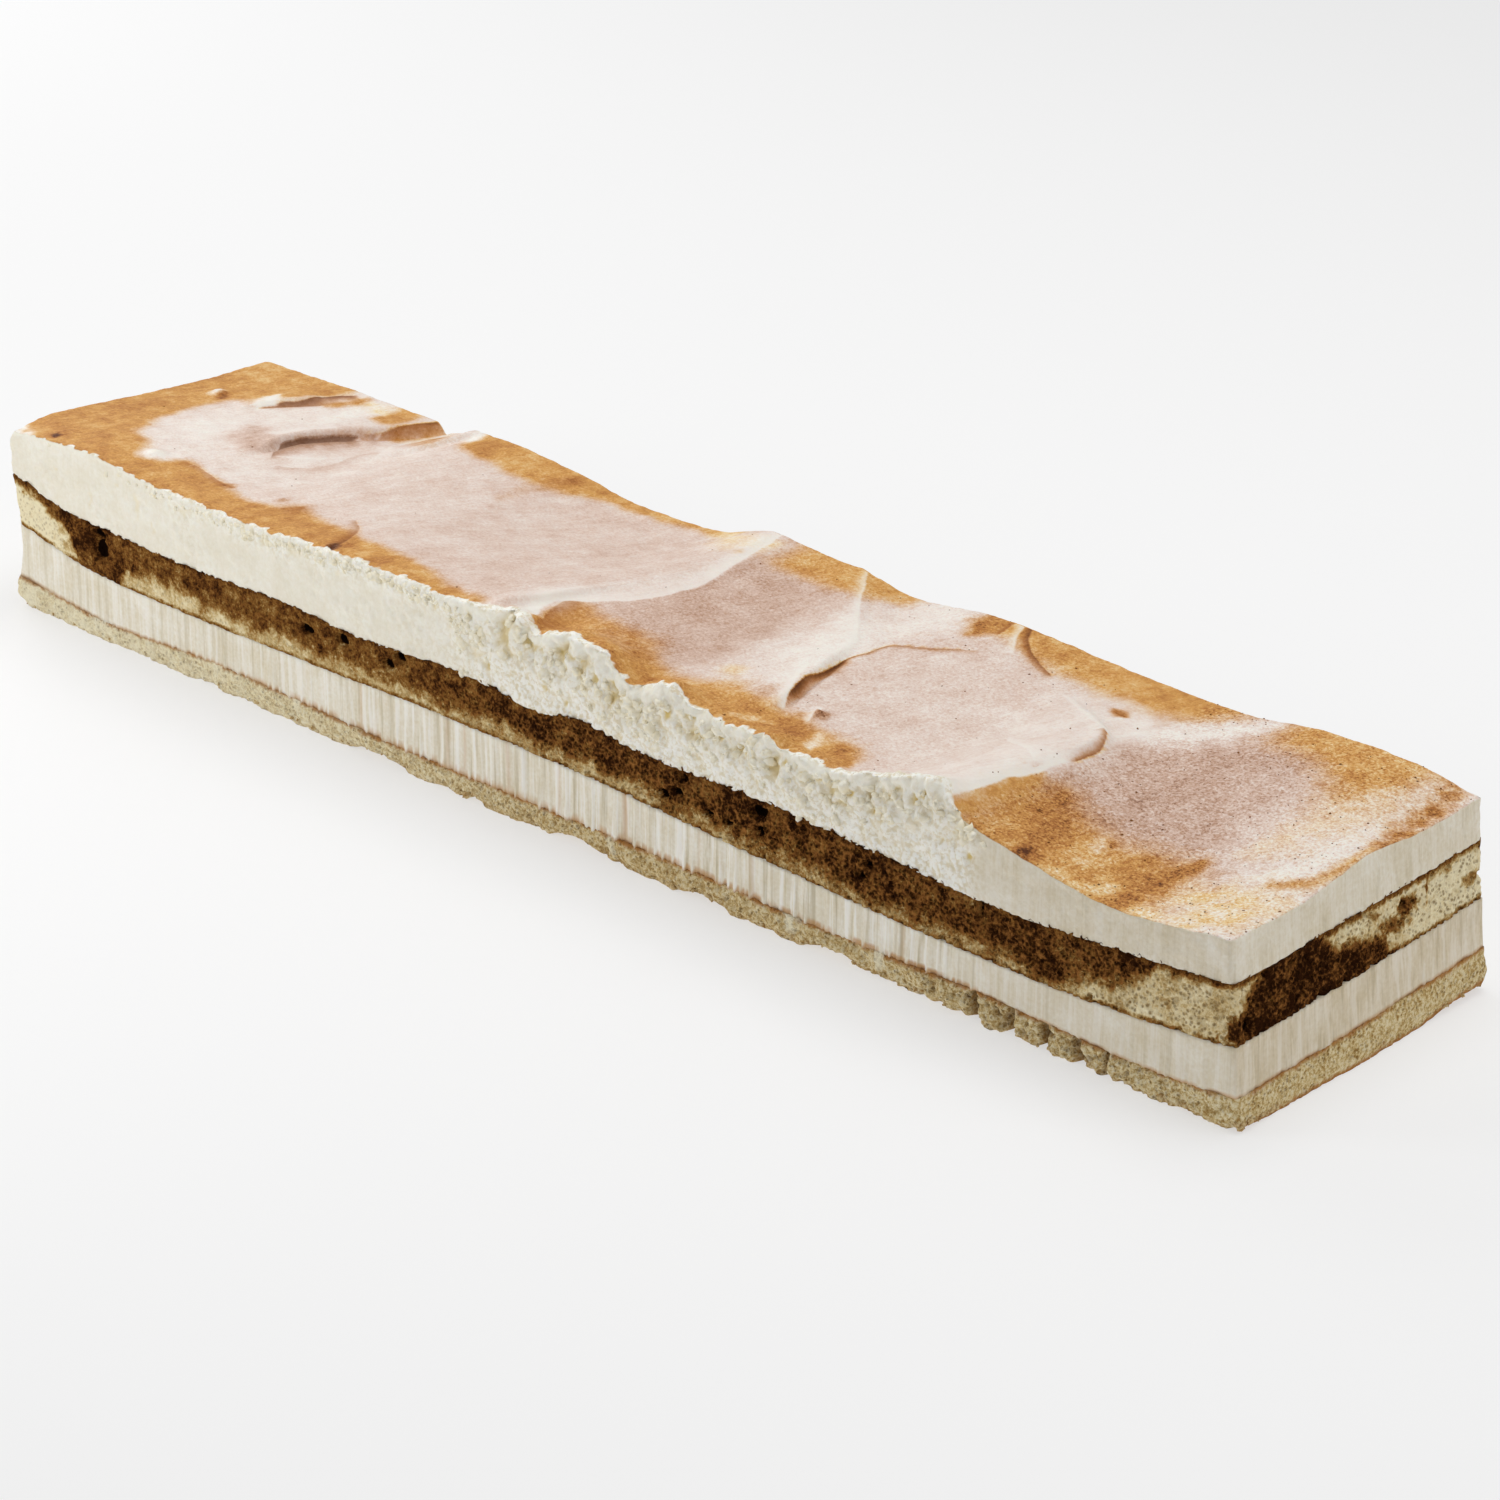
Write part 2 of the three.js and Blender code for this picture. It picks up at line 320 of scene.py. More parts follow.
def spineOf(edge):  # the middle line under or over a layer, where its hidden faces from both sides meet
    reach = (cakeSize["length"] - cakeSize["width"]) / 2
    x = np.clip(np.round(edge[:, 0] / 2) * 2, -reach, reach)
    height = 0
    for half in (edge[edge[:, 1] < 0], edge[edge[:, 1] > 0]):
        half = half[np.argsort(half[:, 0])]
        height = height + np.interp(x, half[:, 0], half[:, 2]) / 2
    return np.column_stack([x, np.zeros(len(x)), height])


def closeMesh(mesh):  # merges the seam and the middle lines
    bm = bmesh.new()
    bm.from_mesh(mesh)
    bmesh.ops.remove_doubles(bm, verts=bm.verts, dist=1e-6)
    bmesh.ops.recalc_face_normals(bm, faces=bm.faces)
    bm.to_mesh(mesh)
    bm.free()


def wrapMesh(name, place, paint):  # a grid wrapped round the cake and closed
    place = np.concatenate([spineOf(place[0])[None], place, spineOf(place[-1])[None]])
    paint = {key: np.concatenate([field[:1], field, field[-1:]]) for key, field in paint.items()}
    rows, columns = place.shape[0] - 1, place.shape[1] - 1
    bm = bmesh.new()
    bmesh.ops.create_grid(bm, x_segments=columns, y_segments=rows, size=1)
    mesh = meshOf(bm, name)
    flat = vertexPlaces(mesh)
    column, row = gridSteps(flat[:, 0], columns), gridSteps(flat[:, 1], rows)
    setPlaces(mesh, place[row, column])
    storePaint(mesh, {key: field[row, column] for key, field in paint.items()})
    closeMesh(mesh)
    return mesh


def ringWall(node, spacing, rows, **gaps):
    stations = round(perimeterLength() / spacing)
    outline, out = perimeter(np.arange(stations + 1) % stations * perimeterLength() / stations)
    return wallOf(node, outline, out, rows, **gaps)


# Materials

class Wire:
    def __init__(self, finish, socket):
        self.finish = finish
        self.socket = socket

    def sum(self, operation, first, second):
        return self.finish.add("ShaderNodeMath", {"operation": operation}, {0: first, 1: second})

    def __add__(self, other):
        return self.sum("ADD", self, other)

    def __radd__(self, other):
        return self.sum("ADD", other, self)

    def __sub__(self, other):
        return self.sum("SUBTRACT", self, other)

    def __rsub__(self, other):
        return self.sum("SUBTRACT", other, self)

    def __mul__(self, other):
        return self.sum("MULTIPLY", self, other)

    def __rmul__(self, other):
        return self.sum("MULTIPLY", other, self)


class Finish:
    def __init__(self, name, **constants):
        self.material = bpy.data.materials.new(name)
        self.material.use_nodes = True
        self.tree = self.material.node_tree
        self.shader = self.tree.nodes["Principled BSDF"]
        for socket, value in constants.items():
            self.shader.inputs[socket].default_value = value
        self.places = self.add("ShaderNodeTexCoord", output="Object")

    def add(self, kind, settings=None, inputs=None, output=0):
        node = self.tree.nodes.new(kind)
        for key, value in (settings or {}).items():
            if key == "stops":
                self.setStops(node.color_ramp.elements, value)
            else:
                setattr(node, key, value)
        for key, value in (inputs or {}).items():
            self.feed(node.inputs[key], value)
        return Wire(self, node.outputs[output])

    def feed(self, socket, value):
        if isinstance(value, Wire):
            self.tree.links.new(value.socket, socket)
        else:
            socket.default_value = value

    def setStops(self, elements, stops):
        while len(elements) < len(stops):
            elements.new(1)
        for element, (position, colour) in zip(elements, stops):
            element.position = position
            element.color = colour

    def attribute(self, name):
        return self.add("ShaderNodeAttribute", {"attribute_name": name}, output="Fac")

    def grain(self, size, detail=2.0, rough=0.5, stretch=None, turn=0):  # bumps of a size in mm
        place = self.places
        if stretch:
            inputs = {"Vector": place, "Rotation": (0, 0, math.radians(turn)), "Scale": stretch}
            place = self.add("ShaderNodeMapping", {"vector_type": "TEXTURE"}, inputs)
        inputs = {"Vector": place, "Scale": 1 / (size * mm), "Detail": detail, "Roughness": rough}
        return self.add("ShaderNodeTexNoise", None, inputs)

    def pores(self, size):  # 0 in the middle of a pore, about 1 on the walls between
        inputs = {"Vector": self.places, "Scale": 1 / (size * mm)}
        return self.add("ShaderNodeTexVoronoi", None, inputs, "Distance")

    def flecks(self, size):  # one random number from 0 to 1 for each grain
        inputs = {"Vector": self.places, "Scale": 1 / (size * mm)}
        colour = self.add("ShaderNodeTexVoronoi", None, inputs, "Color")
        return self.add("ShaderNodeSeparateColor", None, {"Color": colour}, "Red")

    def span(self, value, low, high, to=(0.0, 1.0)):
        inputs = {"Value": value, 1: low, 2: high, 3: to[0], 4: to[1]}
        return self.add("ShaderNodeMapRange", {"clamp": True}, inputs)

    def ramp(self, value, stops):
        return self.add("ShaderNodeValToRGB", {"stops": stops}, {"Fac": value}, "Color")

    def blend(self, first, second, amount, how="MIX"):
        settings = {"data_type": "RGBA", "blend_type": how}
        return self.add("ShaderNodeMix", settings, {0: amount, 6: first, 7: second}, 2)

    def coats(self, colour, *coats):  # colours laid over each other, each by its own amount
        for over, amount in coats:
            colour = self.blend(colour, over, amount)
        return colour

    def bump(self, height, depth, strength=1.0):  # depth in mm
        inputs = {"Height": height, "Distance": depth * mm, "Strength": strength}
        self.feed(self.shader.inputs["Normal"], self.add("ShaderNodeBump", None, inputs, "Normal"))

    def set(self, **wires):
        names = {"colour": "Base Color", "roughness": "Roughness"}
        for key, wire in wires.items():
            self.feed(self.shader.inputs[names[key]], wire)
        return self.material


def tint(red, green, blue):  # a colour as a screen shows it, 0 to 255
    shares = [channel / 255 for channel in (red, green, blue)]
    return (*[((s + 0.055) / 1.055) ** 2.4 if s > 0.04045 else s / 12.92 for s in shares], 1.0)


softCream = {
    "Subsurface Weight": 0.1, "Subsurface Radius": (1.0, 0.8, 0.55), "Subsurface Scale": 0.001,
    "Specular IOR Level": 0.2,
}
dryCrumb = {"Specular IOR Level": 0.0}


def creamColour(finish):
    cloud = finish.grain(9, 3) * 0.6 + finish.grain(0.9, 2) * 0.4
    stops = [(0.3, tint(224, 212, 184)), (0.52, tint(237, 229, 210)), (0.7, tint(247, 243, 231))]
    return finish.ramp(cloud, stops)


def combLines(finish, colour):  # upright lines that a knife leaves in cream, and the painted shade it lies in
    coarse = finish.grain(2.1, 2, 0.6, stretch=(1, 1, 45))
    fine = finish.grain(0.7, 2, 0.6, stretch=(1, 1, 30))
    lines = coarse * 0.65 + fine * 0.35
    combed = finish.attribute("combed")
    # the knife lines are painted darker in their grooves and lighter on their ridges: painted shade and
    # painted highlight
    colour = finish.coats(
        colour,
        (tint(196, 183, 153), finish.span(lines, 0.47, 0.38, (0, 0.7)) * combed),
        (tint(252, 249, 241), finish.span(lines, 0.51, 0.6, (0, 0.85)) * combed),
    )
    return finish.blend(colour, tint(238, 231, 221), finish.attribute("shade"), "MULTIPLY"), lines


def creamFinish():
    finish = Finish("cutCream", **softCream)
    colour, lines = combLines(finish, creamColour(finish))
    colour = finish.blend(colour, tint(192, 140, 76), finish.attribute("streak"))
    finish.bump(lines, 0.5, 0.5)
    return finish.set(colour=colour, roughness=finish.span(lines, 0.3, 0.7, (0.6, 0.42)))


def paleSpongeFinish():
    finish = Finish("paleSponge", **dryCrumb)
    crumb = finish.grain(0.95, 4, 0.75) * 0.85 + finish.grain(4.5, 2) * 0.15
    pit = finish.span(finish.pores(0.9), 0.45, 0.14) * finish.span(finish.flecks(0.9), 0.3, 0.7)
    # the crumb's colour, lighter on its tops and darker between them: partly painted highlight and painted
    # shade
    colour = finish.ramp(crumb, [
        (0.36, tint(172, 136, 80)), (0.45, tint(211, 185, 129)),
        (0.52, tint(241, 225, 179)), (0.6, tint(253, 244, 214)),
    ])
    # pores and the hollows of the relief are painted darker: painted shade
    colour = finish.coats(
        colour, (tint(152, 116, 64), pit * 0.6), (tint(136, 100, 52), finish.attribute("hollow")),
    )
    colour = finish.blend(colour, tint(228, 213, 188), finish.attribute("tone"), "MULTIPLY")
    colour = finish.coats(
        colour,
        (tint(174, 114, 55), finish.attribute("skin")),
        (tint(250, 241, 211), finish.attribute("smear")),
    )
    finish.bump(crumb - pit * 0.6, 0.8, 0.9)
    return finish.set(colour=colour, roughness=finish.span(crumb, 0.3, 0.7, (0.95, 0.75)))


def soakedSpongeFinish():
    finish = Finish("soakedSponge", **dryCrumb)
    openCrumb = finish.attribute("openCrumb")
    crumb = finish.grain(0.9, 4, 0.8)
    wall = finish.pores(1.0)
    pit = finish.span(wall, 0.5, 0.2) * finish.span(finish.flecks(1.0), 0.15, 0.45)
    pit = pit * (0.25 + 0.75 * openCrumb)
    soaked = finish.attribute("soak")
    uneven = finish.span(soaked, 0.1, 0.5)  # coffee spreads unevenly where there is much of it
    mottle = finish.grain(3.0, 3, 0.6) - 0.5
    soak = soaked + (crumb - 0.5) * (0.5 + 1.2 * uneven) + mottle * uneven
    colour = finish.ramp(soak, [
        (0.0, tint(248, 236, 200)), (0.18, tint(217, 190, 134)), (0.36, tint(184, 139, 77)),
        (0.55, tint(144, 99, 47)), (0.78, tint(106, 65, 30)), (1.0, tint(50, 26, 12)),
    ])
    wet = finish.span(soak, 0.15, 0.55)
    # the crumb walls between pores are painted lighter: painted highlight
    wallHighlight = finish.span(wall, 0.5, 0.85, (0, 0.8)) * wet * openCrumb * finish.span(soak, 1.15, 0.65)
    hole = finish.span(finish.attribute("hole") + (crumb - 0.5) * 0.3, 0.35, 0.65)
    # pores are painted darker, and holes near black: painted shade
    colour = finish.coats(
        colour, (tint(170, 114, 60), wallHighlight), (tint(142, 110, 62), pit * 0.75 * (1 - wet)),
        (tint(40, 22, 10), pit * 0.8 * wet), (tint(24, 13, 7), hole),
    )
    finish.bump((crumb - pit * 0.9) * (0.5 + 0.5 * wet), 0.7, 0.9)
    return finish.set(colour=colour, roughness=finish.span(soak, 0.2, 0.9, (0.9, 0.6)))


def dustedCreamFinish():
    finish = Finish("dustedCream", **softCream)
    powder = finish.grain(0.8, 3, 0.75)
    drift = finish.grain(4.0, 4, 0.65)
    strokes = finish.grain(1.3, 3, 0.6, stretch=(9, 1, 4), turn=72)  # faint lines left by the spatula
    jitter, blur = powder - 0.5, drift - 0.5
    grainy, damp, torn = [finish.attribute(name) for name in ("grainy", "moist", "torn")]
    uneven = (finish.flecks(0.5) - 0.5) * 0.3 * grainy + jitter * (0.38 + 0.5 * grainy)
    dust = finish.attribute("dust") + uneven + blur * (0.3 + 0.25 * damp) + (strokes - 0.5) * 0.24
    # the folds darken the cocoa: painted shade under the lips, with cocoa gathered in the crease
    fold = finish.span(finish.attribute("fold") + jitter * 0.4, -0.2, 0.2) * finish.attribute("foldShow")
    # the crests lighten it: bare cream with a painted highlight
    bareAndHighlight = finish.span(finish.attribute("crest") + jitter * 0.4, 0.35, -0.25)
    bareAndHighlight = bareAndHighlight * finish.attribute("crestShow")
    dust = dust + fold * (1.0 - dust)
    dust = dust * (1 - bareAndHighlight)
    # dry cocoa; its pale lilac tones are a painted sheen
    drySheen = finish.ramp(dust, [
        (0.0, tint(249, 244, 234)), (0.2, tint(242, 229, 219)), (0.45, tint(224, 197, 181)),
        (0.7, tint(193, 153, 128)), (1.0, tint(104, 66, 42)),
    ])
    wet = finish.ramp(dust, [
        (0.0, tint(250, 243, 224)), (0.25, tint(238, 207, 150)), (0.5, tint(216, 160, 88)),
        (0.75, tint(178, 115, 56)), (1.0, tint(90, 46, 16)),
    ])
    moist = damp * (1 - 0.7 * bareAndHighlight) + blur * 0.6 + jitter * (0.3 + 0.5 * grainy)
    moist = finish.span(moist, 0.12, 0.88)
    tear = finish.grain(1.1, 3, 0.7) * 0.7 + finish.span(finish.pores(1.3), 0, 1, (0.3, 0.0))
    cut, lines = combLines(finish, creamColour(finish))
    # on the torn cream: painted highlight on its grains and painted shade between them; then warm painted
    # shade in the crevices (with a few smudges) and a painted highlight along the rim
    cut = finish.coats(
        cut,
        (tint(255, 253, 244), finish.span(tear, 0.43, 0.53) * torn),
        (tint(228, 214, 176), finish.span(tear, 0.44, 0.36, (0, 0.4)) * torn),
        (tint(224, 198, 126), finish.attribute("crevice")),
        (tint(254, 250, 236), finish.attribute("rim")),
    )
    cutFace = finish.span(finish.attribute("cutFace") + jitter * 0.5, 0.35, 0.65)
    colour = finish.blend(finish.blend(drySheen, wet, moist), cut, cutFace)
    skin = powder * 0.4 + finish.grain(2.4, 4, 0.6) * 0.6
    skin = skin + (strokes * 0.8 - fold * 0.9 + bareAndHighlight * 0.2) * (1 - cutFace)
    finish.bump(skin + lines * 0.3 * cutFace + tear * torn * 1.2, 0.4, 0.8)
    return finish.set(colour=colour, roughness=finish.span(moist, 0, 1, (0.45, 0.7)) - cutFace * 0.05)


def lumpFinish(name, dark, pale, size):
    finish = Finish(name, **dryCrumb)
    crumb = finish.grain(size, 3, 0.6)
    finish.bump(crumb, 0.2, 0.6)
    colour = finish.ramp(crumb, [(0.35, dark), (0.65, pale)])
    return finish.set(colour=colour, roughness=finish.span(crumb, 0.3, 0.7, (0.9, 0.6)))


print("materials ready")


# Bottom sponge

bottomSpongeLook = {
    "spacing": 0.4, "rows": 18,
    "lumpSize": 5.4, "lumpDepth": 1.7, "crumbSize": 2.0, "crumbDepth": 0.8,
    # the last: how far the relief dips before its hollows are fully painted as shade
    "roughSize": 3.0, "roughDepth": 0.5, "hollowShadeDepth": 1.5,
    # brown skins above and at the foot: how thick, how strong
    "skinThick": 1.1, "footSkinThick": 1.5, "skinShow": 0.85,
    # tears and smears: how deep or strong, how far they sway; and the cream at the far end's upper edge
    "tearDepth": 2.2, "tearSway": 0.6, "smearShow": 0.9, "smearSway": 1.2, "farEdgeShow": 0.85,
    # how lumpy the faces are
    "rough": {
        "front": [(-205, 0.6), (-60, 0.75), (110, 0.9), (125, 1.5), (175, 1.4), (186, 0.8), (205, 0.4)],
        "nearEnd": [(-45, 0.3)],
        "back": [(-205, 0.8)],
        "farEnd": [(-45, 0.5), (45, 0.6)],
    },
    # how much darker the crumb is, from 0 to 1
    "tone": {
        "front": [(-110, 0.0), (-40, 0.3), (20, 0.6), (110, 0.4), (205, 0.25)],
        "nearEnd": [(-45, 0.5), (45, 0.55)],
        "back": [(-205, 0.4), (205, 0.5)],
        "farEnd": [(-45, 0.2), (45, 0.4)],
    },
    # how pale and creamy the crumb is, from 0 to 1
    "fresh": {
        "front": [(-205, 0.8), (-150, 0.75), (-120, 0.6), (-60, 0.25), (0, 0.05), (205, 0)],
        "nearEnd": [(-45, 0)],
        "back": [(-205, 0.2), (0, 0)],
        "farEnd": [(-45, 0.4), (45, 0.2)],
    },
    # stretches where the foot lifts off: middle, half length, rise
    "footLifts": [
        (-63, 11, 2.0), (-39, 4, 0.9), (-28, 3, 1.2), (6, 9, 2.0), (48, 9, 1.9), (88, 9, 1.9),
        (126, 7, 0.9), (143, 4, 1.0), (151, 3, 0.9),
    ],
    # upright tears in the crumb, and cream dragged down over it: place, half width
    "tears": [(131, 1.1), (141.5, 1.3), (151, 1.1), (160.5, 1.3), (168.5, 1.0)],
    "smears": [(-169, 4.2), (-123, 1.9), (-92, 1.2), (19, 1.4), (77, 2.6), (103, 2.2)],
}


def makeBottomSponge():
    look = bottomSpongeLook
    wall = ringWall("bottom_sponge", look["spacing"], look["rows"], bottomDown=0)
    place, front, share = wall["place"], wall["front"], wall["share"]
    x, nearEnd = place[..., 0], wall["out"][..., 0]
    relief = look["lumpDepth"] * (0.55 - cells(place, look["lumpSize"], 3) ** 2)
    relief -= look["crumbDepth"] * (1 - ease(cells(place, look["crumbSize"], 5), 0.1, 0.55))
    relief += look["roughDepth"] * waves(place, look["roughSize"], 7, 3)
    sway = look["tearSway"] * waves(place, 5, 9)
    for middle, half in look["tears"]:
        relief -= look["tearDepth"] * bell(x - middle + sway, half) * front
    relief = relief * roundTheCake(wall, look["rough"])
    # where the relief dips, the crumb is painted darker: painted shade
    hollow = ease(-relief, 0.0, look["hollowShadeDepth"])
    pushOut(wall, relief * ease(wall["fromTop"], -0.4, 1.2))
    for middle, half, rise in look["footLifts"]:
        lift = rise * np.clip(1 - ((x - middle) / half) ** 2, 0, 1) * front
        wall["place"][..., 2] += lift * (1 - share) ** 1.5
    ragged = waves(place, (1.4, 1.4, 50), 11, 2)
    skin = 1 - ease(wall["fromTop"] + 0.5 * ragged, 0.2, look["skinThick"])
    skin *= ease(waves(place, (9, 9, 50), 13, 2), -0.8, -0.1) * look["skinShow"]
    footSkin = 1 - ease(wall["fromBottom"] + 0.7 * ragged, 0.3, look["footSkinThick"])
    skin = np.maximum(skin, look["skinShow"] * footSkin * np.clip(nearEnd, 0.2, 1))
    smear = np.zeros(x.shape)
    sway = look["smearSway"] * waves(place, (2.5, 2.5, 6), 15, 2)
    for middle, half in look["smears"]:
        smear = np.maximum(smear, bell(x - middle + sway, half * (0.5 + 0.6 * share)) * front)
    smear = ease(smear + 0.6 * waves(place, (0.9, 0.9, 5), 17, 2), 0.35, 1.0)
    smear = smear * ease(share, 0.1, 0.6) * look["smearShow"]
    fresh = roundTheCake(wall, look["fresh"]) * (0.8 + 0.4 * waves(place, 4, 16, 2)) * (1 - skin)
    smear = np.maximum(smear, fresh)
    smear[-1] = np.maximum(smear[-1], look["farEdgeShow"] * np.clip(-nearEnd[-1], 0, 1))
    tone = roundTheCake(wall, look["tone"])
    paint = {"skin": skin, "smear": smear, "tone": tone, "hollow": hollow * (0.35 + 0.9 * tone)}
    mesh = wrapMesh("bottomSponge", wall["place"], paint)
    newPiece("bottomSponge", mesh, paleSpongeFinish(), "bottom_sponge")
    return wall["place"]


# Lower cream

lowerCreamLook = {
    "spacing": 0.34, "rows": 12,
    "combSize": 2.2, "combDepth": 0.4, "fineSize": 0.8, "fineDepth": 0.14, "upright": (1, 1, 60),
    "swellSize": (9, 9, 14), "swellDepth": 0.2, "streakSway": 0.4,
    # cream dragged down at its foot: width, how far down, how far out; and how strong the tan line there is
    "dragSize": 1.6, "drag": 0.9, "dragOut": 0.35, "footShow": 0.8,
    # the shade at the near end: from where on, how strong on the front, how much more on the end itself
    "shadeFrom": (115, 150), "shade": 0.35, "endShade": 0.6,
    # tan streaks that the knife drew through the cream: place, half width, strength
    "streaks": [
        (23, 0.8, 0.55), (64, 0.7, 0.25), (-31, 0.5, 0.35), (-37, 0.6, 0.25), (-16, 0.7, 0.3),
        (-68, 0.6, 0.3), (1.5, 0.6, 0.25), (110, 0.6, 0.25), (47, 0.5, 0.2),
    ],
    # how strongly the faces are combed
    "combed": {
        "front": [
            (-205, 0.3), (-185, 0.5), (-110, 0.6), (-60, 0.8), (0, 1), (115, 1), (135, 0.45), (205, 0.5),
        ],
        "nearEnd": [(-45, 0.65), (45, 0.7)],
        "back": [(-205, 0.8), (205, 0.6)],
        "farEnd": [(-45, 0.6)],
    },
}


def makeLowerCream():
    look = lowerCreamLook
    wall = ringWall("lower_cream", look["spacing"], look["rows"])
    place, front, share = wall["place"], wall["front"], wall["share"]
    x = place[..., 0]
    combed = roundTheCake(wall, look["combed"])
    relief = look["combDepth"] * waves(place, np.multiply(look["upright"], look["combSize"]), 21, 2)
    relief += look["fineDepth"] * waves(place, np.multiply(look["upright"], look["fineSize"]), 23)
    pushOut(wall, relief * combed + look["swellDepth"] * waves(place, look["swellSize"], 25, 2))
    streak = np.zeros(x.shape)
    sway = look["streakSway"] * waves(place, 8, 27)
    for middle, half, strength in look["streaks"]:
        streak = np.maximum(streak, strength * bell(x - middle + sway, half) * front)
    drag = ease(waves(place, (look["dragSize"], look["dragSize"], 60), 29, 2), -0.1, 0.7)
    dragged = front * ease(combed, 0.3, 0.8)
    line = 0.3 + 0.8 * (1 - drag) * dragged
    foot = 1 - ease(wall["fromBottom"], line - 0.4, line + 0.3)
    foot = foot * ease(waves(place, (6, 6, 60), 28, 2), -0.7, 0.0)
    streak = np.maximum(streak, look["footShow"] * foot)
    wall["place"][..., 2] -= look["drag"] * drag * dragged * (1 - share) ** 3
    pushOut(wall, look["dragOut"] * drag * dragged * (1 - share) ** 2)
    shade = look["shade"] * ease(x, *look["shadeFrom"])
    shade = shade + look["endShade"] * np.clip(wall["out"][..., 0], 0, 1)
    mesh = wrapMesh("lowerCream", wall["place"], {"streak": streak, "combed": combed, "shade": shade})
    newPiece("lowerCream", mesh, creamFinish(), "lower_cream")


# Upper sponge

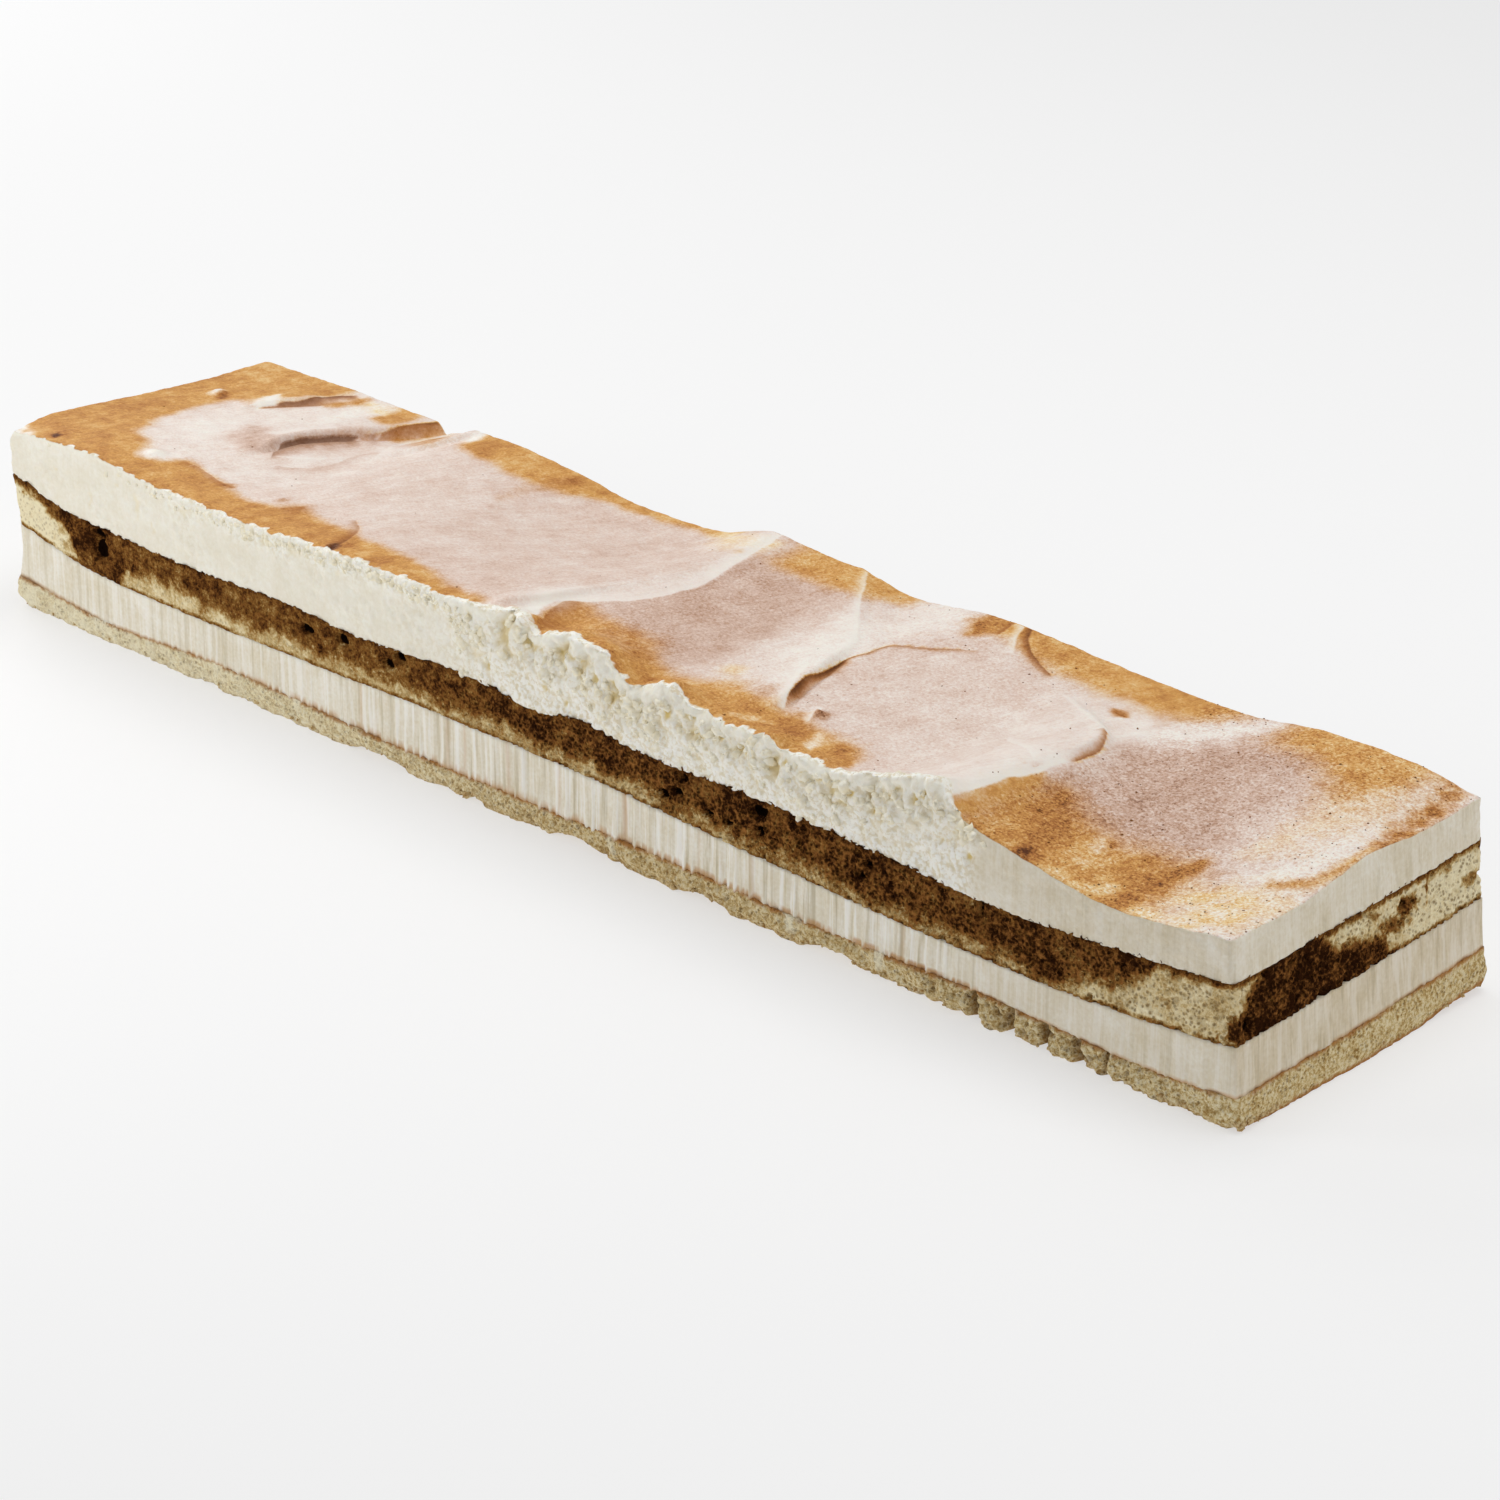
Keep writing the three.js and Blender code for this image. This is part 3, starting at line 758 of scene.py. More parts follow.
upperSpongeLook = {
    "spacing": 0.4, "rows": 31,
    "poreSize": 1.5, "poreDepth": 0.6, "cavitySize": 4.2, "cavityDepth": 0.9,
    "roughSize": 2.4, "roughDepth": 0.22, "swellSize": 14, "swellDepth": 0.25,
    # brown skins: how thick, and how dark
    "topSkin": 2.3, "bottomSkin": 1.5, "topSkinSoak": 0.74, "bottomSkinSoak": 0.5,
    # how the coffee's edge wanders and how soft it is, above and below
    "wander": ((1.6, 5.0, 31, 3), (1.1, 1.3, 33, 2)), "softFrom": (-2.2, 2.4), "softTo": (-1.6, 2.0),
    # holes: how much larger than listed, how deep, how dark they are painted as shade
    "holeGrow": 1.2, "holeDepth": 2.6, "holeShadeSoak": 1.05,
    # tufts along the top edge: least rise, more where the crumb is open, how far they lean out
    "tuftRise": 0.1, "openTuftRise": 0.6, "tuftLean": 0.15,
    # share of the layer's height above which it is soaked dark, along each face
    "soakFrom": {
        "front": [
            (-205, 0.96), (-200, 0.88), (-190, 0.80), (-184, 0.66), (-179, 0.42), (-175, -0.2),
            (-162, -0.2), (-157, 0.42), (-148, 0.42), (-137, 0.5), (-131, 0.36), (-100, 0.34),
            (-50, 0.28), (-27, 0.28), (-20, 0.44), (-12, 0.38), (-5, 0.27), (25, 0.3), (40, 0.23),
            (75, 0.28), (100, 0.2), (130, 0.28), (142, 0.24), (147, 0.02), (154, 0.1), (158, 0.26),
            (172, 0.46), (178, 0.7), (181, 0.94), (205, 0.95),
        ],
        "nearEnd": [(20, -0.2), (24, 0.9), (45, 0.95)],
        "back": [
            (-205, 0.3), (-180, 0.2), (-120, 0.15), (-50, 0.3), (20, 0.2), (80, 0.26), (140, 0.14),
            (168, 0.4), (184, 0.95),
        ],
        "farEnd": [(-45, 0.95), (-25, 0.7), (-10, 0.3), (10, 0.25), (30, 0.1), (45, 0.3)],
    },
    # and the share up to which it is soaked
    "soakTo": {
        "front": [(190, 1.2), (196, 0.4), (206, 0.3)],
        "nearEnd": [
            (-46, 0.34), (-42, 0.5), (-38, 0.72), (-34, 0.95), (-30, 1.2), (-20, 1.2), (-13, 0.85),
            (-10, 0.6), (-2, 0.58), (3, 0.42), (8, 0.3), (13, 0.0), (18, -0.4), (21, -0.6), (24, 1.2),
        ],
        "back": [(-205, 1.2)],
        "farEnd": [(-45, 1.2)],
    },
    # damp left below the soaked part
    "damp": {
        "front": [
            (-205, -0.05), (-180, 0.0), (-160, 0.12), (-100, 0.2), (0, 0.22), (60, 0.25), (130, 0.3),
            (150, 0.26), (160, 0.12), (205, 0.1),
        ],
        "nearEnd": [(-45, 0.08), (10, 0.1), (20, 0.04), (45, 0.03)],
        "back": [(-205, 0.2), (140, 0.3), (170, 0.04), (205, 0.03)],
        "farEnd": [(-45, 0.02), (0, 0.15), (45, 0.2)],
    },
    # how dark it is where soaked
    "deep": {
        "front": [
            (-205, 0.75), (-178, 0.85), (-160, 0.8), (-150, 0.68), (-40, 0.67), (-10, 0.78), (205, 0.82),
        ],
        "nearEnd": [(-8, 0.96), (10, 0.85), (45, 0.8)],
        "back": [(-205, 0.75), (205, 0.8)],
        "farEnd": [(-45, 0.7), (45, 0.75)],
    },
    # how open the crumb is
    "open": {
        "front": [(-205, 0.4), (-180, 0.3), (-60, 0.3), (-25, 0.7), (5, 1)],
        "nearEnd": [(-45, 1), (45, 0.9)],
        "back": [(-205, 0.9)],
        "farEnd": [(-45, 0.6), (45, 0.8)],
    },
    # blots of coffee: face, place along it, height, half length, half height, strength
    "blots": [
        ("front", -180, 26.5, 5, 6, 0.22), ("front", 204, 24.5, 5, 4, 0.9),
        ("nearEnd", -43.5, 23.5, 3, 3.5, 0.9), ("nearEnd", 11, 28, 5, 2.6, 0.5),
        ("nearEnd", 15.5, 30.8, 3.4, 2.4, 0.62), ("nearEnd", 39, 28.3, 3, 1.6, 0.35),
        ("nearEnd", 4, 32, 3, 2, 0.34), ("front", 184, 23.6, 2, 1.4, 0.24),
        ("front", 136, 29, 1.2, 4, 0.95),
    ],
    # holes, painted dark as shade: face, place along it, height, half length, half height
    "holes": [
        ("front", -168, 25.6, 2.2, 2.4), ("front", -168, 29.8, 2.0, 1.2), ("front", -88, 27.3, 2.0, 1.1),
        ("front", -75, 28.4, 1.8, 1.3), ("front", -58, 27.3, 1.6, 1.1), ("front", -54, 30.2, 1.6, 1.1),
        ("front", 35.3, 23.4, 1.4, 1.0), ("front", 39.6, 25.2, 1.6, 1.0), ("front", 41.8, 29.5, 1.2, 0.9),
        ("front", 49.7, 23.1, 1.3, 0.8), ("front", 56, 23, 1.1, 0.7), ("front", 65.5, 28.7, 1.8, 1.4),
        ("front", 65.8, 24, 1.4, 0.9), ("front", 99, 27, 1.2, 0.8), ("front", 97, 23.8, 1.0, 0.7),
        ("front", 132, 28, 0.7, 2.4), ("nearEnd", -39.5, 23.2, 1.2, 1.5),
        ("nearEnd", 14.5, 31.6, 1.0, 0.8), ("back", -150, 27, 1.8, 1.3), ("back", -92, 30, 1.4, 1.0),
        ("back", -20, 26, 1.6, 1.1), ("back", 35, 29, 1.8, 1.2), ("back", 96, 25, 1.3, 1.0),
        ("back", 128, 28, 1.6, 1.2), ("farEnd", 12, 30, 1.5, 1.2), ("farEnd", 33, 27, 1.2, 1.0),
    ],
}


def makeUpperSponge():
    look = upperSpongeLook
    wall = ringWall("upper_sponge", look["spacing"], look["rows"], topUp=0.3, bottomDown=0.2)
    place, share = wall["place"], wall["share"]
    tall = wall["fromTop"] + wall["fromBottom"]
    edge = sum(reach * waves(place, size, seed, octaves) for reach, size, seed, octaves in look["wander"])
    soakFrom, soakTo, deep = [roundTheCake(wall, look[name]) for name in ("soakFrom", "soakTo", "deep")]
    inside = ease((share - soakFrom) * tall + edge, *look["softFrom"])
    inside *= ease((soakTo - share) * tall + edge, *look["softTo"])
    mottle = waves(place, 6, 35, 3)
    damp = roundTheCake(wall, look["damp"]) * (1 + 0.8 * mottle)
    soak = damp + (deep + 0.26 * mottle - damp) * inside
    for *where, strength in look["blots"]:
        spot = onFace(wall, *where, 3)
        soak = np.maximum(soak, strength * ease(spot + 0.4 * edge * (spot > 0.02), 0.15, 0.95))
    ragged = 0.5 * waves(place, (1.2, 1.2, 40), 37, 2)
    topSkin = 1 - ease(wall["fromTop"] + ragged, 0.5, look["topSkin"])
    bottomSkin = 1 - ease(wall["fromBottom"] + 0.6 * ragged, 0.3, look["bottomSkin"])
    soak = np.maximum(soak, look["topSkinSoak"] * topSkin)
    broken = ease(waves(place, (7, 7, 40), 39), -0.8, 0.0)
    soak = np.maximum(soak, look["bottomSkinSoak"] * bottomSkin * broken)
    openness = roundTheCake(wall, look["open"])
    relief = -look["poreDepth"] * openness * (1 - ease(cells(place, look["poreSize"], 41), 0.15, 0.6))
    relief -= look["cavityDepth"] * openness * (1 - ease(cells(place, look["cavitySize"], 43), 0.1, 0.3))
    rough = look["roughDepth"] * waves(place, look["roughSize"], 45, 3)
    relief += rough + look["swellDepth"] * waves(place, look["swellSize"], 47)
    # holes are sunk into the crumb and painted dark: painted shade
    hole = np.zeros(soak.shape)
    for face, middle, height, long, high in look["holes"]:
        spot = onFace(wall, face, middle, height, long * look["holeGrow"], high * look["holeGrow"], 4)
        relief -= look["holeDepth"] * spot
        soak = np.maximum(soak, look["holeShadeSoak"] * ease(spot, 0.4, 0.8))
        hole = np.maximum(hole, ease(spot + 0.05 * edge, 0.3, 0.8))
    pushOut(wall, relief)
    tufts = 0.7 * waves(place, (0.9, 0.9, 40), 49, 2) + 0.6 * waves(place, (2.4, 2.4, 40), 50, 2)
    tufts = (look["tuftRise"] + look["openTuftRise"] * openness) * ease(tufts, -0.1, 0.7)
    wall["place"][..., 2] += tufts * ease(share, 0.88, 1.0)
    pushOut(wall, look["tuftLean"] * ease(share, 0.85, 1.0))
    openness = openness * ease(wall["fromTop"], 0.6, 1.8)
    mesh = wrapMesh("upperSponge", wall["place"], {"soak": soak, "openCrumb": openness, "hole": hole})
    newPiece("upperSponge", mesh, soakedSpongeFinish(), "upper_sponge")


# Top cream

topCreamLook = {
    "columns": 720, "lines": 70, "rows": 26, "crowd": 0.35, "calm": (6, 90),
    "rimRound": 0.35, "rimFade": 0.75,
    # the part of the top where its height is taken, and the shade at the near end
    "innerFrom": (-200, -41.5), "innerTo": (196, 41.5), "shadeFrom": (112, 150), "shade": 0.45,
    # lips left by the spatula, front to back and steep on the right: path, rise at both ends, width of the
    # steep side, how far the crest curls over, depth of the groove under it; and along the lip how crisp it
    # is, how bare its steep side is (bare cream with a painted highlight), and how gently its step runs out
    "lips": [
        ([(-178, 14), (-175, 22), (-168, 33)], (0.8, 1.4), 2.5, 0.5, 0.9, (0.6, 1), (0, 0), (0, 0)),
        ([(-148, -8), (-151, 6), (-146, 21), (-139, 34), (-133, 47)], (1.4, 2.4), 3.0, 1.2, 1.2,
         [(0, 0.5), (0.2, 1)], (0, 0), (0, 0)),
        ([(-143, -9), (-131, 9), (-124, 26), (-119, 43)], (1.0, 2.2), 3.0, 0.5, 0.3,
         [(0, 0.2), (0.5, 0.4), (1, 0.6)], (0.2, 0.2), (0.6, 0.3)),
        ([(-26, -44), (-18, -18), (-10, 8), (-9, 25), (-13, 46)], (1.8, 2.2), 3.5, 0.6, 0.3,
         [(0, 1), (0.2, 0.6), (0.35, 0.1), (0.7, 0.05), (1, 0.2)], (0.3, 0.2),
         [(0, 0), (0.2, 0.2), (0.4, 1)]),
        ([(57, -32), (51, -16), (47, -1), (41, 15), (16, 46)], (1.4, 2.2), 3.2, 0.8, 0.9,
         [(0, 0), (0.12, 0.7), (0.25, 1), (0.5, 0.8), (0.65, 0.2), (0.9, 0.1), (1, 0.2)],
         [(0.6, 0), (0.7, 0.1)], [(0, 0.8), (0.12, 0.2), (0.5, 0.2), (0.65, 1)]),
        ([(119, -50), (122, -15), (123, -1), (119, 12), (96, 23)], (7.0, 1.6), 4.2, 0.5, 0.3,
         [(0, 0), (0.4, 0.1), (0.6, 0.6), (0.8, 0.7), (1, 0.2)], [(0, 0), (0.5, 0.1)],
         [(0, 1), (0.4, 0.9), (0.6, 0.4), (0.8, 0.3), (1, 0.8)]),
    ],
    "lipReach": 9, "lipRiseMost": 2.6, "lipIn": (-0.05, 0.14), "lipOut": (0.88, 1.05),
    "lipThin": 1.5, "crestWide": 1.3,
    # passes that even out the solid's top, where it is crisp and where gentle
    "crispTop": (4, 8), "gentleTop": (12, 90),
    # how the moist and dry dusting run into each other along the cake, from 0 crisp to 1 hazy
    "softAlong": [(-205, 0.1), (-110, 0.15), (-20, 0.3), (0, 0.6), (60, 0.5), (118, 0.7), (128, 1)],
    "crispPasses": (2, 12), "hazyPasses": (26, 150),
    # where moist tan dusting starts towards the front and towards the back
    "moistFront": [
        (-205, 60), (-186, 30), (-184, -8), (-178, -22), (-168, -28), (-160, -36), (-155, -33),
        (-153, -26.5), (-140, -28.5), (-122, -33), (-112, -30), (-100, -29), (-80, -32), (-50, -35.5),
        (-28, -40.5), (-24, -60), (-17, -60), (-14, -20), (5, -24), (12, -24), (20, -30), (30, -33),
        (36, -30), (42, -24), (50, -26), (58, -29), (75, -29), (86, -32), (94, -60), (122, -60),
        (124.5, -19), (130, -15), (142, -19), (152, -22), (165, -18), (173, -18), (177, -60), (205, -60),
    ],
    "moistBack": [
        (-205, -60), (-186, -30), (-184, 15), (-177, 18), (-170, 34), (-165, 50), (-152, 50), (-149, 32),
        (-141, 33), (-136, 60), (-118, 60), (-116, 34), (-98, 30), (-84, 31), (-66, 38.5), (-40, 41),
        (-28, 38), (-12, 60), (-5, 60), (-3, 31), (27, 31), (36, 42), (40, 60), (54, 60), (57, 32),
        (72, 36), (90, 31), (130, 30.5), (137, 40), (140, 60), (146, 60), (148, 31), (166, 31), (175, 21),
        (184, 9), (188, 16), (191, 60), (205, 60),
    ],
    # dry cocoa along the middle: its thickness, with painted shade and highlight on slopes; how grainy it
    # looks
    "dustAndShadingAlong": [
        (-205, 0.5), (-186, 0.3), (-170, 0.2), (-145, 0.24), (-110, 0.33), (-40, 0.4), (-14, 0.38),
        (-4, 0.5), (8, 0.58), (22, 0.52), (32, 0.3), (46, 0.16), (54, 0.36), (90, 0.34), (105, 0.26),
        (122, 0.2), (128, 0.52), (145, 0.62), (165, 0.53), (176, 0.36), (190, 0.22),
    ],
    "grainAlong": [
        (-205, 0.2), (-60, 0.25), (-12, 0.35), (0, 0.6), (30, 0.4), (52, 0.6), (98, 0.5), (104, 0.15),
        (124, 0.15), (128, 0.9), (205, 1.0),
    ],
    # marks, bare, stained, painted shade or painted highlight: path, half width, how thick the cocoa is
    # there, how moist
    "marks": [
        ([(-161, 41), (-155, 34), (-153, 16)], 3.2, 0.08, 0.1),
        ([(-178, 26), (-175, 17)], 1.8, 0.05, 0.3), ([(-172, -4), (-165, -11)], 5, 0.1, 0.0),
        ([(-161, -31.5), (-158, -31)], 2.2, 0.0, 0.15), ([(-191.5, 16.5)], 1.9, 0.0, 0.2),
        ([(-176.4, 22)], 1.8, 0.0, 0.15), ([(-157, 41), (-149, 38)], 2.6, 0.12, 0.8),
        # painted shade beside the small lump at the far left
        ([(-190, 18), (-187, 14)], 1.2, 0.8, 0.9),
        ([(-205, -40), (-201, -43.5), (-194, -46)], 2.6, 0.0, 0.1),
        # the second: painted shade on the slope left of the second lip
        ([(-166, 31), (-162, 36), (-160, 42)], 2.6, 0.6, 0.9), ([(-160, 3), (-150, -8)], 5, 0.62, 0.0),
        # painted shade, lilac-brown, in the hollow right of the second lip
        ([(-143, -4), (-145, 5), (-143, 16), (-139, 24)], 5.5, 0.52, 0.12),
        ([(-147, 33), (-144, 36), (-141, 40)], 2.0, 0.6, 0.9),
        ([(-136, 31), (-132, 39), (-128, 48)], 3.2, 0.6, 1), ([(-128, 38), (-124, 28)], 4.0, 0.62, 0.7),
        ([(-118, 45), (-116, 38)], 1.4, 0.03, 0.1), ([(-110, 42), (-106, 34)], 3.5, 0.72, 1),
        ([(-80, 39)], 3.0, 0.95, 1), ([(-86, 36), (-78, 35)], 4.5, 0.66, 0.9),
        ([(-108, -29)], 3.5, 0.78, 1), ([(-115, -27)], 1.5, 0.7, 0.5),
        ([(-134, -29.5), (-131, -30)], 1.3, 0.8, 0.9), ([(-83, 30), (-82, 16)], 2.5, 0.5, 0.3),
        ([(-28, 44), (-14, 33), (-9, 40)], 5, 0.2, 0.75),
        ([(-20, -27), (-18, -35), (-14, -41)], 1.6, 0.0, 0.1), ([(-9.5, 28)], 1.3, 0.85, 0.9),
        ([(2, -28), (16, -34)], 7, 0.62, 0.8),
        ([(40, 12), (44, 4), (45.5, -4), (44.5, -8)], 3.2, 0.03, 0.0),
        ([(33, 20), (40, 10), (38, -6)], 5, 0.1, 0.0), ([(35, -20)], 3, 0.25, 0.8),
        ([(44, 26), (52, 34), (48, 44)], 6, 0.14, 0.05), ([(46, -22), (50, -26)], 3, 0.5, 0.3),
        # the second: painted shadow beside the small lump there
        ([(60, 44), (62, 34)], 3.2, 0.74, 1), ([(66.5, -24)], 1.5, 0.95, 0.7),
        ([(62, -28), (69, -38)], 2.6, 0.72, 1), ([(72, -31), (76, -39)], 1.4, 0.2, 0.5),
        ([(80, -32), (87, -40)], 3, 0.66, 1), ([(52, -39), (60, -36)], 2, 0.4, 0.8),
        ([(122, 17), (133, 28), (144, 42)], 5.5, 0.12, 0.05),
        ([(111.5, 25), (115.5, 24.5)], 1.3, 0.82, 1), ([(126, 8), (128, 0), (128, -8)], 1.8, 0.42, 0.1),
        ([(125.5, -18), (124.8, -28), (124, -44)], 2.4, 0.5, 0.95),
        ([(131, -16), (136, -26), (141, -35), (143, -45)], 4.0, 0.76, 0.95),
        ([(142, -42.5)], 1.3, 1.05, 1), ([(149, -30), (154, -36)], 4, 0.35, 0.8),
        ([(151, -24.5)], 1.5, 0.85, 1), ([(149, -24), (151, -29)], 1.4, 0.32, 0.6),
        ([(162, -24)], 2.0, 0.7, 1), ([(150, -43), (158, -45), (163, -38)], 3.2, 0.26, 0.8),
        ([(171, -17), (168.5, -30), (167, -46)], 2.5, 0.74, 1), ([(173, -42), (180, -44)], 3, 0.2, 0.8),
        ([(192, 40), (194, 15), (193, -6), (186, -16)], 3.0, 0.08, 0.1),
        ([(180, -30), (192, -30), (186, -42)], 9, 0.24, 0.85),
        ([(186, 26), (184, 6), (179, -8)], 7, 0.26, 0.5),
        ([(193, 47), (196, 33), (198, 20), (199.5, 6)], 3.4, 0.74, 0.95),
        ([(199, 5), (198, -12), (190, -18)], 2.0, 0.5, 0.8), ([(-189, -40), (-187, -42)], 1.2, 1.05, 0.9),
        ([(-80, -41), (-78, -43)], 1.3, 1.05, 0.9),
    ],
    # the folds are painted shade under the lips, together with cocoa gathered in the crease
    # dark folds: path, how far the shade runs out to its right along it, how strong, how moist
    "folds": [
        ([(-141, -8), (-145, -4), (-148, 0.3), (-149.5, 3.3), (-149.7, 7.6), (-147.7, 14), (-145, 20),
         (-142.8, 24.5), (-141, 28)], [(0, 2), (0.3, 6), (0.7, 5), (1, 3)], [(0, 0.5), (0.4, 0.85),
         (0.8, 0.75), (1, 0.8)], 0.25),
        ([(-143.5, 23), (-141.8, 26.5), (-139.6, 31.6), (-137, 39), (-133.5, 48)], (2, 1.4),
         [(0, 0.1), (0.3, 0.45), (1, 0.95)], 1),
        ([(-175, 17), (-174.1, 21), (-173, 24), (-170, 28.8), (-168, 36.6), (-164, 43)],
         [(0, 2), (0.4, 4), (1, 2.5)], [(0, 0.6), (0.3, 0.8), (1, 0.8)], 0.6),
        ([(-137.9, -10), (-134.3, -6), (-131.4, -2), (-130.9, 7), (-131, 19)], (3, 3), (0.3, 0.2), 0.1),
        ([(-153, -27.2), (-148, -27.3), (-141, -28.6), (-132, -30)], (2, 2), (0.3, 0.5), 0.9),
        ([(57, -26.5), (54, -22.7), (52.3, -19.8), (50.6, -14.6), (50.2, -10.8), (49.8, -5.6),
         (48.9, -1), (48.2, 2.5), (48.5, 4.8), (50, 8), (50.1, 13.5), (51.5, 16), (54.9, 18.7),
         (59.4, 20.7), (65.6, 24.3), (71, 28)], [(0, 1), (0.12, 2.6), (0.2, 2.4), (0.28, 1.5),
         (0.36, 3.2), (0.45, 3), (0.52, 1.3), (0.7, 1.1), (1, 2)], [(0, 0.8), (0.15, 1), (0.25, 0.9),
         (0.38, 1), (0.45, 1), (0.55, 0.7), (0.75, 0.6), (1, 0.5)], 1),
        ([(-8, -43), (-9.2, -42), (-14.4, -33), (-16.4, -26.8), (-16.2, -23), (-13, -20.5)],
         [(0, 4), (0.5, 5), (0.8, 5), (1, 2)], [(0, 0.3), (0.5, 0.4), (0.8, 0.45), (1, 0.3)], 1),
        ([(-4.6, -5), (-3, 3), (-2.9, 13), (-4.8, 24), (-7, 34)], (3, 3),
         [(0, 0.1), (0.5, 0.2), (1, 0.15)], 0.3),
        ([(-91, -24), (-85, -28.5), (-81, -34), (-79, -43)], (2, 2.5), (0.4, 0.6), 0.9),
        ([(70, 46), (76, 37), (82, 33), (91, 28.5)], (2, 1.4), (0.8, 0.7), 0.9),
        ([(66, 45), (67, 36)], (1.4, 1.4), (0.6, 0.6), 0.9),
        ([(119, 12), (121.4, 10.3), (123.7, 6), (125, 1), (126.2, -7)], (1.2, 1.2), (0.7, 0.8), 1),
    ],
    # pale crests, bare cream with a painted highlight: path, how far they run out to its left along it, how
    # strong
    "crests": [
        ([(-9.5, -44), (-14, -37), (-17.6, -30.8), (-17.8, -25.6), (-13.9, -21), (-9.2, -14.7),
         (-5.4, -5.7), (-3.7, 2.7), (-3.6, 12.8), (-5.4, 23.6), (-7.6, 33.4), (-10, 44), (-11, 48)],
         [(0, 3), (0.2, 4), (0.35, 5), (0.5, 5.5), (0.7, 5), (1, 4)], [(0, 0.85), (0.5, 0.65),
         (1, 0.85)]),
        ([(58, -28), (54, -23), (51, -18), (48, -11.3), (46, -6)], (1.6, 2.2), (0.9, 0.8)),
        ([(46.5, 6), (44.5, 11), (37.5, 20), (30.5, 28), (24.5, 36), (16.5, 48)], (2, 1.6), (0.85, 0.6)),
        ([(-142, -6), (-137, -1), (-134, 4)], (1.5, 1.5), (0.5, 0.4)),
        ([(-134.5, 28), (-130, 20), (-126, 13)], (2, 2), (0.5, 0.3)),
        ([(-133, 28), (-130, 37), (-127, 47)], (2, 2), (0.5, 0.8)),
        ([(76, 31), (71, 39), (67.5, 47)], (1.6, 2), (0.6, 0.8)),
        ([(66, -28), (63, -20)], (1.6, 1.6), (0.7, 0.7)),
        ([(98, 22), (111, 15), (121, 11)], (1.2, 1.6), (0.5, 0.8)),
        ([(104, -4.5), (114, -10), (122, -15.5)], (1.6, 2), (0.5, 0.7)),
        ([(121.8, -47), (122.5, -34), (123.3, -24), (124.6, -16.5), (125.6, -6)],
         [(0, 5), (0.6, 4), (1, 2.5)], (1, 0.9)),
        ([(-152, 2), (-151.5, 8), (-149.5, 14), (-146.5, 20)], (3, 3), (0.5, 0.5)),
        ([(-176, 16), (-173.5, 22)], (2.5, 2.5), (0.8, 0.8)),
    ],
    # small lumps on the top: place, half width, rise
    "lumps": [
        (-191.5, 17, 2.2, 1.5), (-160, -31, 2.4, 1.0), (65, -24, 1.8, 1.5), (-52, 39, 2, 0.6),
        (-36, 41, 2, 0.5),
    ],
    # the torn stretch of the front: where it begins and ends, how far down curds reach, lumps of three sizes
    "tornFrom": (-46, -20), "tornTo": (125, 134), "curdReach": (8.5, 2.5),
    "curdSize": 4.0, "curdDepth": 2.9, "crumbSize": 2.4, "crumbDepth": 0.62,
    "fineSize": 1.2, "fineDepth": 0.38,
    # how far back from the front the top is torn, curdled and creamy
    "tornBack": (-34, -43), "curdledBack": (-39, -44), "creamyEdge": (-43.2, -44.4),
    "creamyBack": (-36, -40),
    # along the front: where the mottled part and the rim's painted highlight end, up to where the left rim
    # has that highlight as well, and from where on it is combed
    "mottledTo": (100, 130), "rimHighlightTo": (118, 130), "leftRimHighlightTo": (-70, 0), "combedFrom": (100, 140),
    # how far cream shows on top of the front's rim, in mm
    "creamyAlong": [
        (-205, -1), (-150, -0.6), (-120, -0.2), (-80, 0), (-40, 0), (-25, 1.6), (-12, 2.2), (0, 1.4),
        (18, 0.8), (26, 0.2), (36, 1.2), (44, 0.6), (60, 0.3), (80, 0.5), (100, 1.6), (119, 2.2),
        (125, 0), (130, -1.5),
    ],
    # how curdled the rest of the front's rim is, with what lumps and how far down
    "smallSize": 3.0, "smallDepth": 1.9, "smallReach": (7.5, 2),
    "curdledAlong": [
        (-205, 0), (-165, 0.05), (-150, 0.15), (-128, 0.45), (-105, 0.8), (-80, 1), (-20, 1), (127, 0.6),
        (133, 0),
    ],
    # how high the torn rim stands
    "rimLine": [
        (-40, 50.7), (-27, 52), (-16, 53.8), (-11.6, 53.6), (-8.2, 50.1), (-5.5, 50.6), (-1, 52.8),
        (5, 54.2), (7.3, 53.3), (11.6, 53.9), (16.6, 53.2), (22, 49.5), (26.4, 47.6), (29, 48.4),
        (33.5, 50.4), (38, 51.6), (41, 49.2), (46, 48.2), (54.6, 47.4), (61, 48), (68.5, 48.5),
        (73, 46.4), (80, 46.9), (90, 46.7), (97, 48.5), (106.6, 51.6), (113, 53.2), (119, 54.2),
        (122, 52), (125, 48.8), (128, 47.5), (132.5, 46.5),
    ],
    # hollows, yellowish (painted shade where torn, smudges further left): place, height, half length, half
    # height, depth
    "hollows": [
        (-14.1, 52.6, 1.6, 1.2, 1.6), (-8, 47.6, 4.2, 0.9, 1.2), (-22.4, 37.7, 0.9, 1.2, 1.2),
        (-3.2, 38.6, 1.0, 1.6, 0.8), (9.4, 50, 2.6, 0.8, 0.9), (20.5, 46, 1.0, 2.0, 1.2),
        (3.4, 36.3, 0.9, 1.6, 0.9), (14, 47, 0.9, 2.2, 0.8), (37.9, 43.9, 1.6, 1.0, 1.1),
        (44.6, 44.8, 1.8, 1.0, 1.1), (53, 44, 2.4, 1.0, 1.2), (61.5, 43, 1.6, 1.0, 0.8),
        (73.8, 44.8, 0.9, 1.6, 1.0), (79.9, 43.3, 1.4, 0.9, 0.8), (85.4, 43.9, 1.4, 0.9, 0.9),
        (93.8, 43.5, 1.2, 1.0, 1.3), (99.7, 44.9, 1.6, 1.0, 1.4), (99.8, 40.8, 1.2, 0.8, 0.9),
        (105.6, 45.9, 1.6, 1.8, 0.9), (107.9, 49, 1.4, 1.0, 1.1), (113.2, 48, 1.1, 1.6, 1.2),
